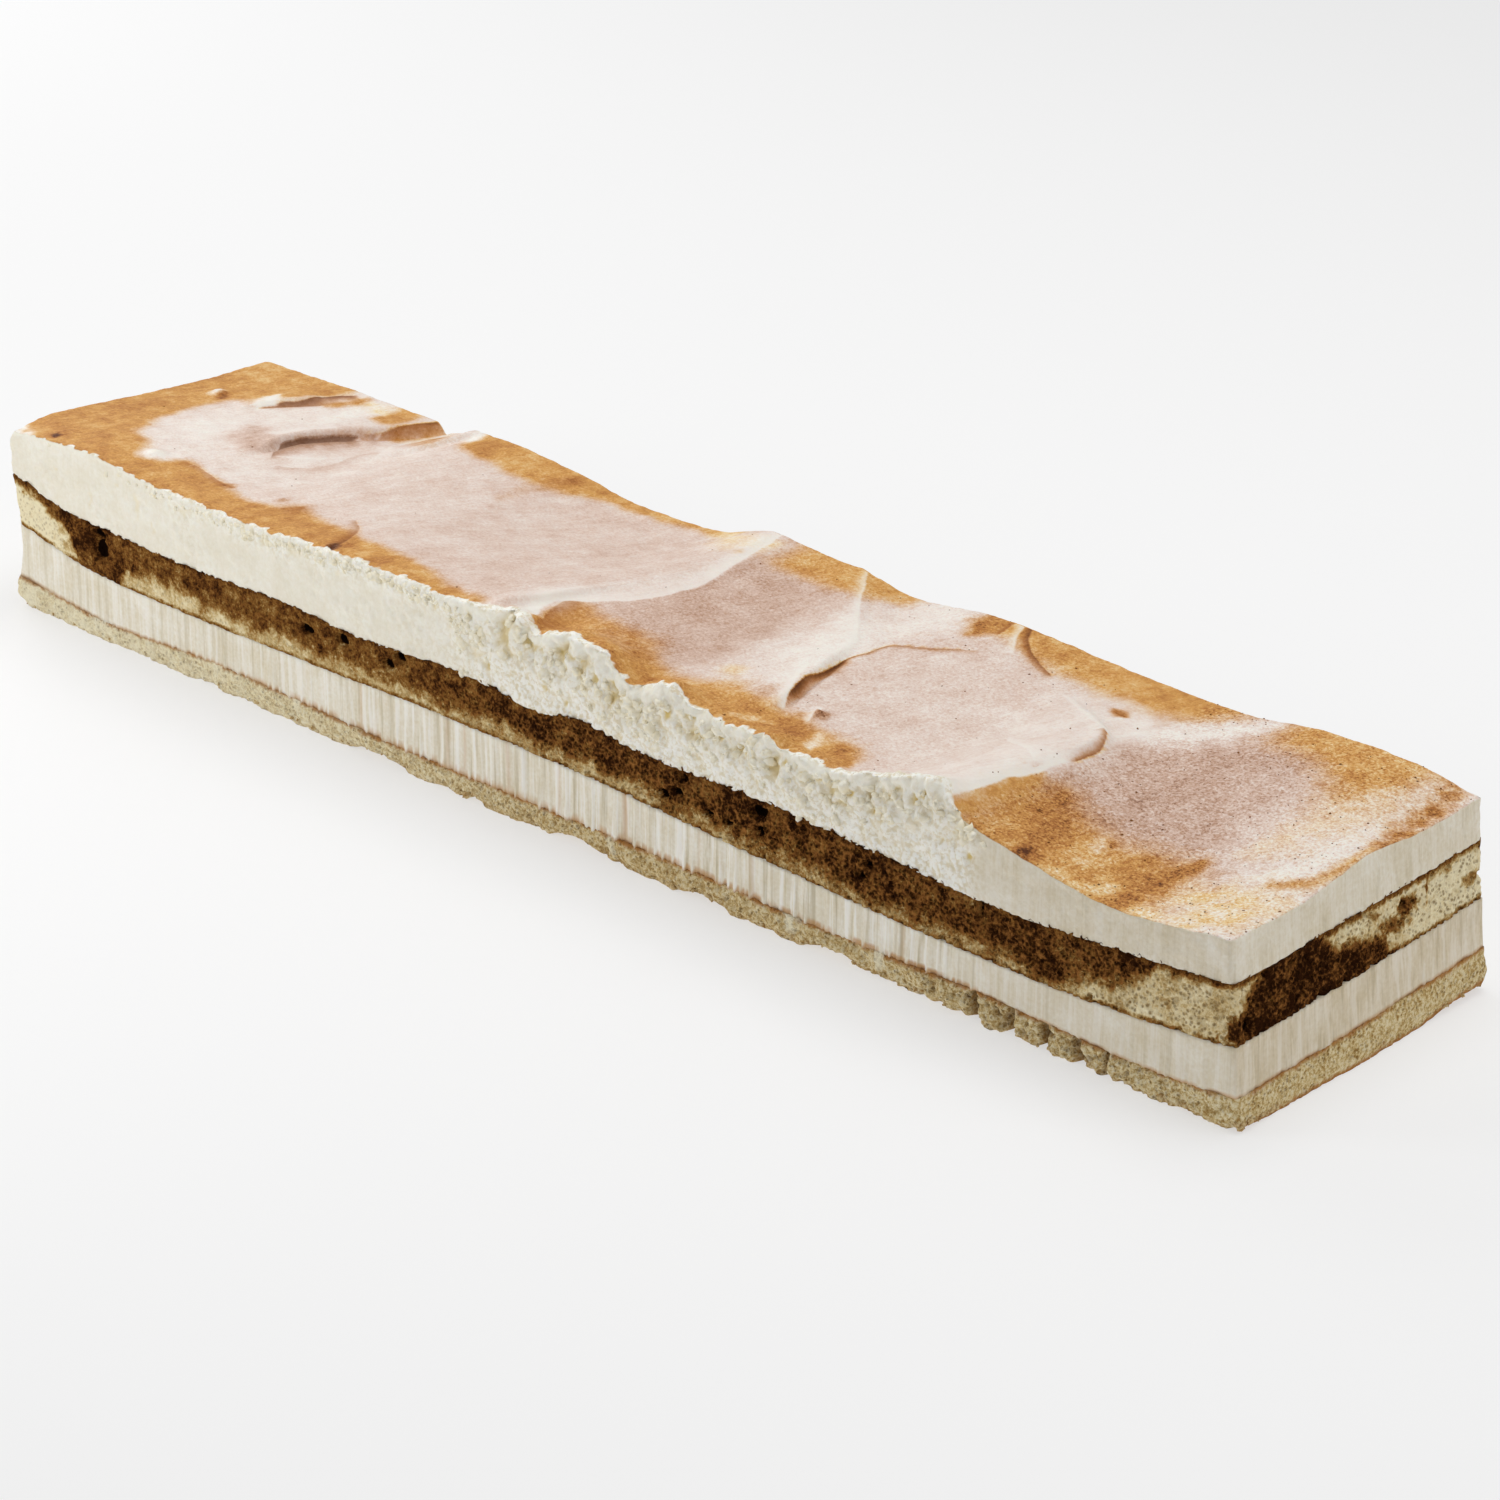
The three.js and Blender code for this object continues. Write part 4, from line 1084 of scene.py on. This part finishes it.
        (116, 50.4, 1.0, 1.0, 0.9), (125.4, 45, 0.8, 1.8, 1.2), (128.4, 39.3, 0.8, 1.2, 1.0),
        (120.9, 40.2, 1.1, 0.7, 0.8), (-29.4, 49.6, 1.6, 0.8, 0.7), (-40.2, 48, 1.2, 0.7, 0.6),
        (-52.5, 48.5, 1.4, 0.9, 0.6), (2.5, 48.7, 5.5, 0.55, 1.0), (-152, 42.5, 1.1, 4.0, 0.2),
        (-170, 39, 0.7, 2.0, 0.1), (-184, 44, 1.6, 0.6, 0.2), (-160, 46, 1.4, 0.5, 0.2),
        (-146, 38, 0.8, 1.6, 0.15), (-133, 46, 2.0, 0.6, 0.25), (-118, 47, 1.6, 0.6, 0.3),
        (-104, 46.5, 2.2, 0.7, 0.4),
    ],
}


def tornShare(x, facing):
    look = topCreamLook
    return ease(x, *look["tornFrom"]) * (1 - ease(x, *look["tornTo"])) * facing


def gentleLips(x, y):  # where the step of a lip runs out softly
    share = np.zeros(x.shape)
    for path, *others, gentle in topCreamLook["lips"]:
        distance, side, along = nearPath(x, y, smoothPath(path))
        near = np.exp(-(distance / topCreamLook["lipReach"]) ** 4)
        share = np.maximum(share, valueAlong(gentle, along) * near)
    return share


def sharpenLips(x, y, height):  # the solid's lips are rounded: this adds crests, curls and grooves
    look = topCreamLook
    thin, wide = look["lipThin"], look["crestWide"]
    shift = np.zeros((*x.shape, 2))
    bareAndHighlight = np.zeros(x.shape)  # the steep side of a lip shows cream, with a painted highlight
    for path, rises, width, curls, groove, crisps, baresAndHighlights, gentle in look["lips"]:
        path = smoothPath(path)
        distance, side, share = nearPath(x, y, path)
        fade = ease(share, *look["lipIn"]) * (1 - ease(share, *look["lipOut"]))
        rise = (rises[0] + (rises[1] - rises[0]) * share) * fade
        away = distance * side
        showing = bell(away - thin, np.where(away > thin, 2.5, 5.0))
        bareAndHighlight = np.maximum(bareAndHighlight, showing * fade * valueAlong(baresAndHighlights, share))
        crisp = valueAlong(crisps, share)
        rise = np.minimum(rise, look["lipRiseMost"]) * crisp
        fade = fade * crisp
        steep = rise * (bell(distance, thin) - bell(distance, width))
        height = height + np.where(side > 0, steep, 0)
        height = height + 0.3 * rise * bell(away + 0.4, wide)
        height = height - groove * fade * bell(away - 2.4, wide)
        curl = curls * fade * bell(away + 0.2, thin)
        last = len(path) - 1
        step = np.clip((share * last).astype(int), 0, last - 1)
        run = path[step + 1] - path[step]
        run /= np.maximum(np.linalg.norm(run, axis=-1, keepdims=True), 1e-9)
        shift += curl[..., None] * np.stack([run[..., 1], -run[..., 0]], -1)
    return height, shift, bareAndHighlight


def traceLines(x, y, lines, way):  # signed distance to the nearest line, and its painted shade (folds) or highlight (crests), fading to one side
    away, show, wet = np.full(x.shape, 9.0), np.zeros(x.shape), np.zeros(x.shape)
    for path, reach, strength, *moist in lines:
        distance, side, share = nearPath(x, y, smoothPath(path))
        ends = ease(share, 0, 0.08) * (1 - ease(share, 0.92, 1))
        fade = bell(distance, np.where(side * way > 0, valueAlong(reach, share), 3))
        near = distance < np.abs(away)
        away = np.where(near, distance * side, away)
        show = np.where(near, valueAlong(strength, share) * ends * fade, show)
        wet = np.where(near, moist[0] if moist else 0, wet)
    return away, show, wet


def paintTop(x, y, place):
    look = topCreamLook
    wanderX = x + 2.0 * waves(place, 9, 61, 3)
    wanderY = y + 2.0 * waves(place, 9, 62, 3)
    pastFront = valueAlong(look["moistFront"], wanderX) - wanderY
    pastBack = wanderY - valueAlong(look["moistBack"], wanderX)
    moist = ease(np.maximum(pastFront, pastBack), -1.5, 1.5)
    crisp, hazy = soften(moist, look["crispPasses"]), soften(moist, look["hazyPasses"])
    moist = crisp + (hazy - crisp) * valueAlong(look["softAlong"], x)
    # how dark the cocoa lies: its thickness, and painted shade and highlight on the slopes
    dust = valueAlong(look["dustAndShadingAlong"], x + 3.5 * waves(place, 12, 63, 2)) + 0.08 * waves(place, 9, 65, 3)
    dust = dust + (0.57 - 0.06 * ease(y, 20, 35) + 0.1 * waves(place, 8, 67, 3) - dust) * moist
    warp = 1.2 * waves(place, 5, 69, 3)
    patchy = 0.85 + 0.45 * waves(place, 4, 70, 2)
    for path, width, amount, wet in look["marks"]:
        distance, side, share = nearPath(x, y, smoothPath(path))
        taper = 0.55 + 0.6 * np.sin(math.pi * share) if len(path) > 1 else 1
        mark = bell(distance + warp * min(width / 3, 1), width * 1.2 * taper)
        mark = np.clip(mark * patchy, 0, 1) if width > 2 else mark
        dust = dust + (amount - dust) * mark
        moist = moist + (wet - moist) * mark
    wiggleX, wiggleY = x + 0.6 * waves(place, 9, 64, 2), y + 0.6 * waves(place, 9, 66, 2)
    # folds paint shade with cocoa in the crease; crests paint bare cream with a highlight
    fold, foldShow, foldWet = traceLines(wiggleX, wiggleY, look["folds"], 1)
    crest, crestShow = traceLines(wiggleX, wiggleY, look["crests"], -1)[:2]
    moist = moist + (foldWet - moist) * np.where(fold > -0.5, foldShow, 0)
    return {
        "dust": np.clip(dust, 0, 1.1), "moist": np.clip(moist, 0, 1),
        "grainy": valueAlong(look["grainAlong"], x),
        "fold": fold, "foldShow": foldShow, "crest": crest, "crestShow": crestShow,
    }


def topGrid(columns, lines, rows):  # a flat grid with walls that hang from its rim
    bm = bmesh.new()
    bmesh.ops.create_grid(bm, x_segments=columns, y_segments=lines, size=1)
    rim = [edge for edge in bm.edges if edge.is_boundary]
    for row in range(rows + 1):
        grown = bmesh.ops.extrude_edge_only(bm, edges=rim)["geom"]
        fresh = {item for item in grown if isinstance(item, bmesh.types.BMVert)}
        bmesh.ops.translate(bm, verts=list(fresh), vec=(0, 0, -1))
        rim = [item for item in grown if isinstance(item, bmesh.types.BMEdge) and set(item.verts) <= fresh]
    mesh = meshOf(bm, "topCream")
    flat = vertexPlaces(mesh)
    level = np.rint(-flat[:, 2]).astype(int)
    return mesh, gridSteps(flat[:, 0], columns), gridSteps(flat[:, 1], lines), level


def rimSides(rim, columns, lines):  # front, near end, back and far end, each from its left or front corner
    half = columns + lines
    farEnd = np.vstack([rim[half + columns:], rim[:1]])[::-1]
    return rim[:columns + 1], rim[columns:half + 1], rim[half:half + columns + 1][::-1], farEnd


def tearFront(wall):  # relief of the cut faces of the top cream, and how they look
    look = topCreamLook
    side, front, fromTop = wall["place"], wall["front"], wall["fromTop"]
    x = side[..., 0]
    torn = tornShare(x, front)
    upper = ease(fromTop, *look["curdReach"])
    bent = side + 1.4 * np.dstack([waves(side, 4, seed, 2) for seed in (78, 79, 80)])
    curds, crumbs = cells(bent, look["curdSize"], 71), cells(bent, look["crumbSize"], 73)
    lumps = look["curdDepth"] * (0.6 - curds ** 2) * upper
    lumps += look["crumbDepth"] * (0.5 - crumbs) * (0.8 - 0.35 * upper)
    lumps += look["fineDepth"] * waves(side, look["fineSize"], 82, 2) * (1 - 0.6 * upper)
    relief = torn * (lumps + 0.5 * waves(side, 9.0, 81, 2))
    curdled = valueAlong(look["curdledAlong"], x) * front * (1 - torn)
    curdled *= ease(fromTop + 2.0 * waves(side, 7, 84), *look["smallReach"])
    small = cells(bent, look["smallSize"], 83)
    relief += curdled * look["smallDepth"] * (0.5 - small ** 1.5)
    smooth = (1 - torn) * (1 - 0.7 * curdled)
    relief += smooth * (0.05 * waves(side, (0.9, 0.9, 50), 85, 2) + 0.2 * waves(side, (8, 8, 10), 87, 3))
    # warm painted shade in the creases between the curds and crumbs, and in the hollows; the faint hollows
    # further left are smudges
    crevice = 0.7 * torn * upper * ease(curds + 0.25 * waves(side, 9, 89), 0.6, 0.95)
    crevice = np.maximum(crevice, 0.22 * torn * ease(crumbs, 0.55, 0.95))
    ragged = 0.3 * waves(side, 1.8, 90, 2)
    for *where, depth in look["hollows"]:
        spot = onFace({**wall, "place": bent}, "front", *where)
        relief -= 0.8 * depth * spot
        shadeAndSmudge = ease(spot + ragged, 0.25, 0.9)
        crevice = np.maximum(crevice, min(1, 0.3 + 0.7 * depth) * shadeAndSmudge)
    crevice += curdled * 0.6 * ease(small, 0.65, 0.95)
    mottled = front * (1 - ease(x, *look["mottledTo"])) * ease(waves(side, 14, 93, 2), -0.5, 0.4)
    relief += (0.16 + 0.36 * mottled) * smooth * waves(side, 2.6, 91, 3)
    # a painted highlight along the top edge of the front, on its left part as well
    rim = 0.75 * (1 - ease(fromTop + 0.5 * waves(side, 2.2, 92, 2), 0.5, 1.9))
    rim = rim * front * (1 - ease(x, *look["rimHighlightTo"]))
    rim = np.maximum(rim, 0.4 * front * (1 - ease(x, *look["leftRimHighlightTo"])))
    relief[-1] -= look["rimRound"]
    return relief, {
        "crevice": crevice, "rim": rim,
        "combed": smooth * (0.1 + 0.2 * ease(x, *look["combedFrom"]) + 0.1 * (1 - front)),
        "shade": look["shade"] * ease(x, *look["shadeFrom"]),
        "torn": torn * (1 - 0.35 * upper) + 0.9 * curdled + 0.3 * mottled * smooth,
    }


def makeTopCream():
    look = topCreamLook
    columns, lines, rows = look["columns"], look["lines"], look["rows"]
    mesh, i, j, level = topGrid(columns, lines, rows)
    across = np.linspace(0, 1, lines + 1)
    # the lines lie closer at the rims
    across = across - look["crowd"] * np.sin(2 * math.pi * across) / (2 * math.pi)

    # stations round the rim, a grid corner in the middle of each bend
    bend = math.pi * cakeSize["corner"] / 2
    longRun = cakeSize["length"] - 2 * cakeSize["corner"] + bend
    wideRun = cakeSize["width"] - 2 * cakeSize["corner"] + bend
    along, aside = np.arange(columns) / columns * longRun, across[:-1] * wideRun
    travel = [along, longRun + aside, longRun + wideRun + along, 2 * longRun + wideRun + aside]
    outline, out = perimeter(np.concatenate(travel) - bend / 2)
    ring = np.where(j == 0, i, np.where(i == columns, columns + j, np.where(
        j == lines, columns + lines + columns - i, 2 * columns + lines + lines - j))) % len(outline)

    # the top follows the solid, then gets its lips, lumps and torn rim
    wall = wallOf("top_cream", outline, out, rows, calm=look["calm"])
    rimPlace = wall["place"][-2, :, :2]
    front, nearEnd, back, farEnd = rimSides(rimPlace, columns, lines)
    u = np.linspace(0, 1, columns + 1)[None, :, None]
    v = across[:, None, None]
    flatTop = (1 - v) * front[None] + v * back[None] + (1 - u) * farEnd[:, None] + u * nearEnd[:, None]
    corners = (1 - u) * (1 - v) * front[0] + u * (1 - v) * front[-1]
    flatTop -= corners + (1 - u) * v * back[0] + u * v * back[-1]
    inner = np.clip(flatTop, look["innerFrom"], look["innerTo"])
    above = np.dstack([inner, np.full(inner.shape[:2], castLook["above"])])
    height = castOn(solidTree("top_cream"), above, np.array((0.0, 0, -1)))[..., 2]
    x, y = flatTop[..., 0], flatTop[..., 1]
    crisp, gentle = soften(height, look["crispTop"]), soften(height, look["gentleTop"])
    height = crisp + (gentle - crisp) * gentleLips(x, y)
    place = np.dstack([flatTop, height])
    paint = paintTop(x, y, place)
    # the steep sides of the lips lose their cocoa: bare cream with a painted highlight
    height, shift, bareAndHighlight = sharpenLips(x, y, height)
    paint["dust"] *= 1 - 0.95 * bareAndHighlight
    paint["moist"] *= 1 - 0.8 * bareAndHighlight
    for lumpX, lumpY, width, rise in look["lumps"]:
        height = height + rise * np.exp(-((x - lumpX) ** 2 + (y - lumpY) ** 2) / width ** 2)
    torn = tornShare(x, ease(y, *look["tornBack"]))
    curds = 0.5 - cells(place, look["curdSize"], 71) ** 1.4
    crumbs = 0.5 - cells(place, look["crumbSize"], 73)
    height = height + torn * (valueAlong(look["rimLine"], x) - height + curds + 1.1 * crumbs)
    curdled = valueAlong(look["curdledAlong"], x) * ease(y, *look["curdledBack"]) * (1 - torn)
    height = height + curdled * (0.6 * waves(place, 2.4, 76, 2) + 0.5 * crumbs)
    ragged = y + 1.6 * waves(place, 3.2, 74, 2) - 1.2 * valueAlong(look["creamyAlong"], x)
    creamy = ease(ragged, *look["creamyEdge"]) * ease(y, *look["creamyBack"])
    height = height + 0.14 * waves(place, (6, 3.5, 6), 75, 3) + 0.06 * waves(place, 1.8, 77, 2)

    # the cut faces reach up to that rim
    along, aside = np.arange(columns), np.arange(lines)
    ringI = np.concatenate([along, np.full(lines, columns), columns - along, np.zeros(lines, int)])
    ringJ = np.concatenate([np.zeros(columns, int), aside, np.full(columns, lines), lines - aside])
    side = wall["place"]
    side[..., 2] += (height[ringJ, ringI] - side[-1, :, 2]) * wall["share"]
    relief, cutPaint = tearFront(wall)
    pushOut(wall, relief)

    # top and faces meet at the rim
    front, nearEnd, back, farEnd = rimSides(wall["place"][-1, :, :2] - rimPlace, columns, lines)
    fade = look["rimFade"] ** np.arange(columns + 1)[:, None]
    flatTop += fade[:lines + 1, None] * front[None]
    flatTop += fade[:lines + 1][::-1, None] * back[None]
    flatTop += fade[None] * farEnd[:, None]
    flatTop += fade[None, ::-1] * nearEnd[:, None]
    top = np.dstack([flatTop + shift, height])
    edge = 0.3 * waves(side, (1.3, 1.3, 40), 49, 2)
    wall["place"][..., 2] += edge * ease(wall["share"], 0.2, 0.0)

    onTop = level == 0
    row = np.maximum(rows - level, 0)
    final = np.where(onTop[:, None], top[j, i], wall["place"][row, ring])
    final = np.where((level > rows)[:, None], spineOf(wall["place"][0])[ring], final)
    setPlaces(mesh, final)
    for key in ("foldShow", "crestShow"):
        paint[key][[0, -1]] = 0
    paint = {key: field[j, i] for key, field in paint.items()}
    paint["cutFace"] = np.where(onTop, creamy[j, i], 1.0)
    for key, field in cutPaint.items():
        onTheTop = creamy[j, i] if key == "torn" else 0.0
        paint[key] = np.where(onTop, onTheTop, np.clip(field, 0, 1)[row, ring])
    storePaint(mesh, paint)
    closeMesh(mesh)
    newPiece("topCream", mesh, dustedCreamFinish(), "top_cream")
    return top, wall


# Crumbs, curds and specks, each kind joined into one mesh

lumpLook = {"rough": 0.22, "stretch": (0.7, 1.25)}


def scatterLumps(name, shape, centres, sizes, seed, flat=1.0):
    draw = np.random.default_rng(seed)
    bm = bmesh.new()
    if shape == "curd":
        bmesh.ops.create_uvsphere(bm, u_segments=8, v_segments=5, radius=1)
    else:
        bmesh.ops.create_icosphere(bm, subdivisions=1, radius=1)
    corners = np.array([vertex.co for vertex in bm.verts])
    faces = [[vertex.index for vertex in face.verts] for face in bm.faces]
    bm.free()
    count = len(centres)
    turns = np.linalg.qr(draw.normal(size=(count, 3, 3)))[0]
    turns[np.linalg.det(turns) < 0] *= -1
    rough = 1 + lumpLook["rough"] * draw.normal(size=(count, len(corners), 1))
    stretch = draw.uniform(*lumpLook["stretch"], size=(count, 1, 3)) * sizes[:, None, None]
    lumps = np.einsum("nij,nvj->nvi", turns, corners[None] * rough * stretch)
    lumps[..., 2] *= flat
    lumps += centres[:, None]
    mesh = bpy.data.meshes.new(name)
    every = [[corner + lump * len(corners) for corner in face] for lump in range(count) for face in faces]
    mesh.from_pydata((lumps.reshape(-1, 3) * mm).tolist(), [], every)
    return mesh


curdLook = {
    # loose curds on the torn front and on the curdled rim: count, middle size, how far down they reach
    "torn": (240, 0.9, 7), "curdled": (220, 0.6, 4.5), "size": (0.3, 1.6), "spread": 0.35, "sunk": 0.35,
}


def makeCurds(wall):
    look = curdLook
    draw = np.random.default_rng(5)
    side, fromTop = wall["place"], wall["fromTop"]
    x = side[..., 0]
    torn = tornShare(x, wall["front"])
    curdled = valueAlong(topCreamLook["curdledAlong"], x) * wall["front"] * (1 - torn)
    centres, sizes = [], []
    for kind, share in {"torn": torn, "curdled": curdled}.items():
        count, middle, reach = look[kind]
        share = share * ease(fromTop, reach, reach * 0.4) * ease(fromTop, 0.5, 1.6)
        pick = draw.choice(share.size, count, replace=False, p=(share / share.sum()).ravel())
        size = np.clip(middle * draw.lognormal(0, look["spread"], count), *look["size"])
        places = side.reshape(-1, 3)[pick]
        places[:, 1] += look["sunk"] * size
        centres.append(places)
        sizes.append(size)
    mesh = scatterLumps("creamCurds", "curd", np.vstack(centres), np.concatenate(sizes), 6)
    finish = lumpFinish("curdCream", tint(246, 236, 208), tint(255, 251, 236), 1.6)
    newPiece("creamCurds", mesh, finish)


speckLook = {
    # how many, middle and spread of their size as powers of e, its limits, how flat they are
    "count": 420, "usual": (-1.7, 0.3), "size": (0.12, 0.34), "flat": 0.6,
    # how dense they lie: everywhere, then more from place to place along the cake
    "dense": 0.02, "more": [(20, 60, 0.1), (118, 135, 0.8)],
}


def makeSpecks(top):
    look = speckLook
    draw = np.random.default_rng(8)
    x = top[..., 0]
    dense = look["dense"]
    for start, end, amount in look["more"]:
        dense = dense + ease(x, start, end) * amount
    pick = draw.choice(x.size, look["count"], replace=False, p=(dense / dense.sum()).ravel())
    centres = top.reshape(-1, 3)[pick]
    sizes = np.clip(draw.lognormal(*look["usual"], len(pick)), *look["size"])
    mesh = scatterLumps("cocoaSpecks", "grain", centres, sizes, 9, flat=look["flat"])
    finish = lumpFinish("cocoaLump", tint(104, 66, 36), tint(150, 102, 60), 0.5)
    newPiece("cocoaSpecks", mesh, finish)


crumbLook = {
    # how many on the lowest rows of the sponge, size as for the specks, how high their middle lies in sizes
    "count": 130, "footRows": 4, "usual": (-0.8, 0.4), "size": (0.25, 0.9), "lift": 1.7,
    # small heaps of crumbs at the foot: corners of the sponge used for a spread of 1; place, spread, count
    "heapCorners": 60,
    "heaps": [
        (205, -36, 2.2, 14), (205, -42, 1.5, 8), (205, 33, 2.0, 8), (150, -46, 5, 6), (60, -46, 6, 6),
    ],
}


def makeCrumbs(sponge):
    look = crumbLook
    draw = np.random.default_rng(12)
    foot = sponge[:look["footRows"]].reshape(-1, 3)
    places = [foot[draw.choice(len(foot), look["count"], replace=False)]]
    for x, y, spread, count in look["heaps"]:
        near = np.argsort(np.hypot(foot[:, 0] - x, foot[:, 1] - y))[:int(spread * look["heapCorners"])]
        places.append(foot[draw.choice(near, count, replace=False)])
    centres = np.vstack(places)
    sizes = np.clip(draw.lognormal(*look["usual"], len(centres)), *look["size"])
    centres[:, 2] = np.maximum(centres[:, 2], sizes * look["lift"])
    mesh = scatterLumps("spongeCrumbs", "grain", centres, sizes, 13)
    finish = lumpFinish("crumb", tint(168, 128, 74), tint(226, 206, 160), 0.8)
    newPiece("spongeCrumbs", mesh, finish)


spongeFoot = makeBottomSponge()
makeLowerCream()
makeUpperSponge()
topPlaces, topWall = makeTopCream()
makeCurds(topWall)
makeSpecks(topPlaces)
makeCrumbs(spongeFoot)


# Floor, light and camera

stageLook = {
    "floorHalf": 4.0,
    "camera": (0.7088, -0.7252, 0.4871), "elevation": 25.30, "azimuth": 43.49,
    "lens": 110.69, "sensor": 36.0,
    "world": 0.32, "floorShade": 0.4, "floorGlow": 0.54,
    # soft boxes: place, aim, width, height, watts
    "lamps": {
        "keyLamp": ((-0.27, -0.38, 0.26), (-0.15, 0.0, 0.03), 0.2, 0.2, 0.6),
        "leftLamp": ((-0.9, 0.25, 0.5), (0.0, 0.0, 0.05), 0.6, 0.6, 3.0),
        "topLamp": ((0.1, 0.2, 0.9), (0.0, 0.0, 0.05), 0.6, 0.6, 3.5),
        "sideLamp": ((0.7, 0.2, 0.5), (0.15, 0.0, 0.03), 0.4, 0.4, 0.8),
    },
}


def makeFloor():
    bm = bmesh.new()
    bmesh.ops.create_grid(bm, x_segments=2, y_segments=2, size=stageLook["floorHalf"])
    mesh = meshOf(bm, "floor")
    floor = bpy.data.objects.new("floor", mesh)
    bpy.context.scene.collection.objects.link(floor)
    glow = {"Emission Color": (1, 1, 1, 1), "Emission Strength": stageLook["floorGlow"]}
    finish = Finish("paleFloor", Roughness=0.9, **glow)
    shade = stageLook["floorShade"]
    cloud = finish.ramp(finish.grain(400), [(0, (shade * 0.97,) * 3 + (1,)), (1, (shade,) * 3 + (1,))])
    mesh.materials.append(finish.set(colour=cloud))


def aimAt(lamp, target):
    lamp.rotation_euler = (Vector(target) - lamp.location).to_track_quat("-Z", "Y").to_euler()


def makeLight():
    world = bpy.data.worlds.new("softLight")
    world.use_nodes = True
    world.node_tree.nodes["Background"].inputs["Color"].default_value = (1, 1, 1, 1)
    world.node_tree.nodes["Background"].inputs["Strength"].default_value = stageLook["world"]
    bpy.context.scene.world = world
    for name, (place, target, width, tall, watts) in stageLook["lamps"].items():
        light = bpy.data.lights.new(name, "AREA")
        light.shape = "RECTANGLE"
        light.size, light.size_y, light.energy = width, tall, watts
        lamp = bpy.data.objects.new(name, light)
        bpy.context.scene.collection.objects.link(lamp)
        lamp.location = place
        aimAt(lamp, target)


def makeCamera():
    camera = bpy.data.objects.new("camera", bpy.data.cameras.new("camera"))
    bpy.context.scene.collection.objects.link(camera)
    camera.location = stageLook["camera"]
    tilt, turn = math.radians(90 - stageLook["elevation"]), math.radians(stageLook["azimuth"])
    camera.rotation_euler = (tilt, 0, turn)
    camera.data.lens, camera.data.sensor_width = stageLook["lens"], stageLook["sensor"]
    bpy.context.scene.camera = camera
    bpy.context.scene.view_settings.view_transform = "Standard"


makeFloor()
makeLight()
makeCamera()
print("stage ready")
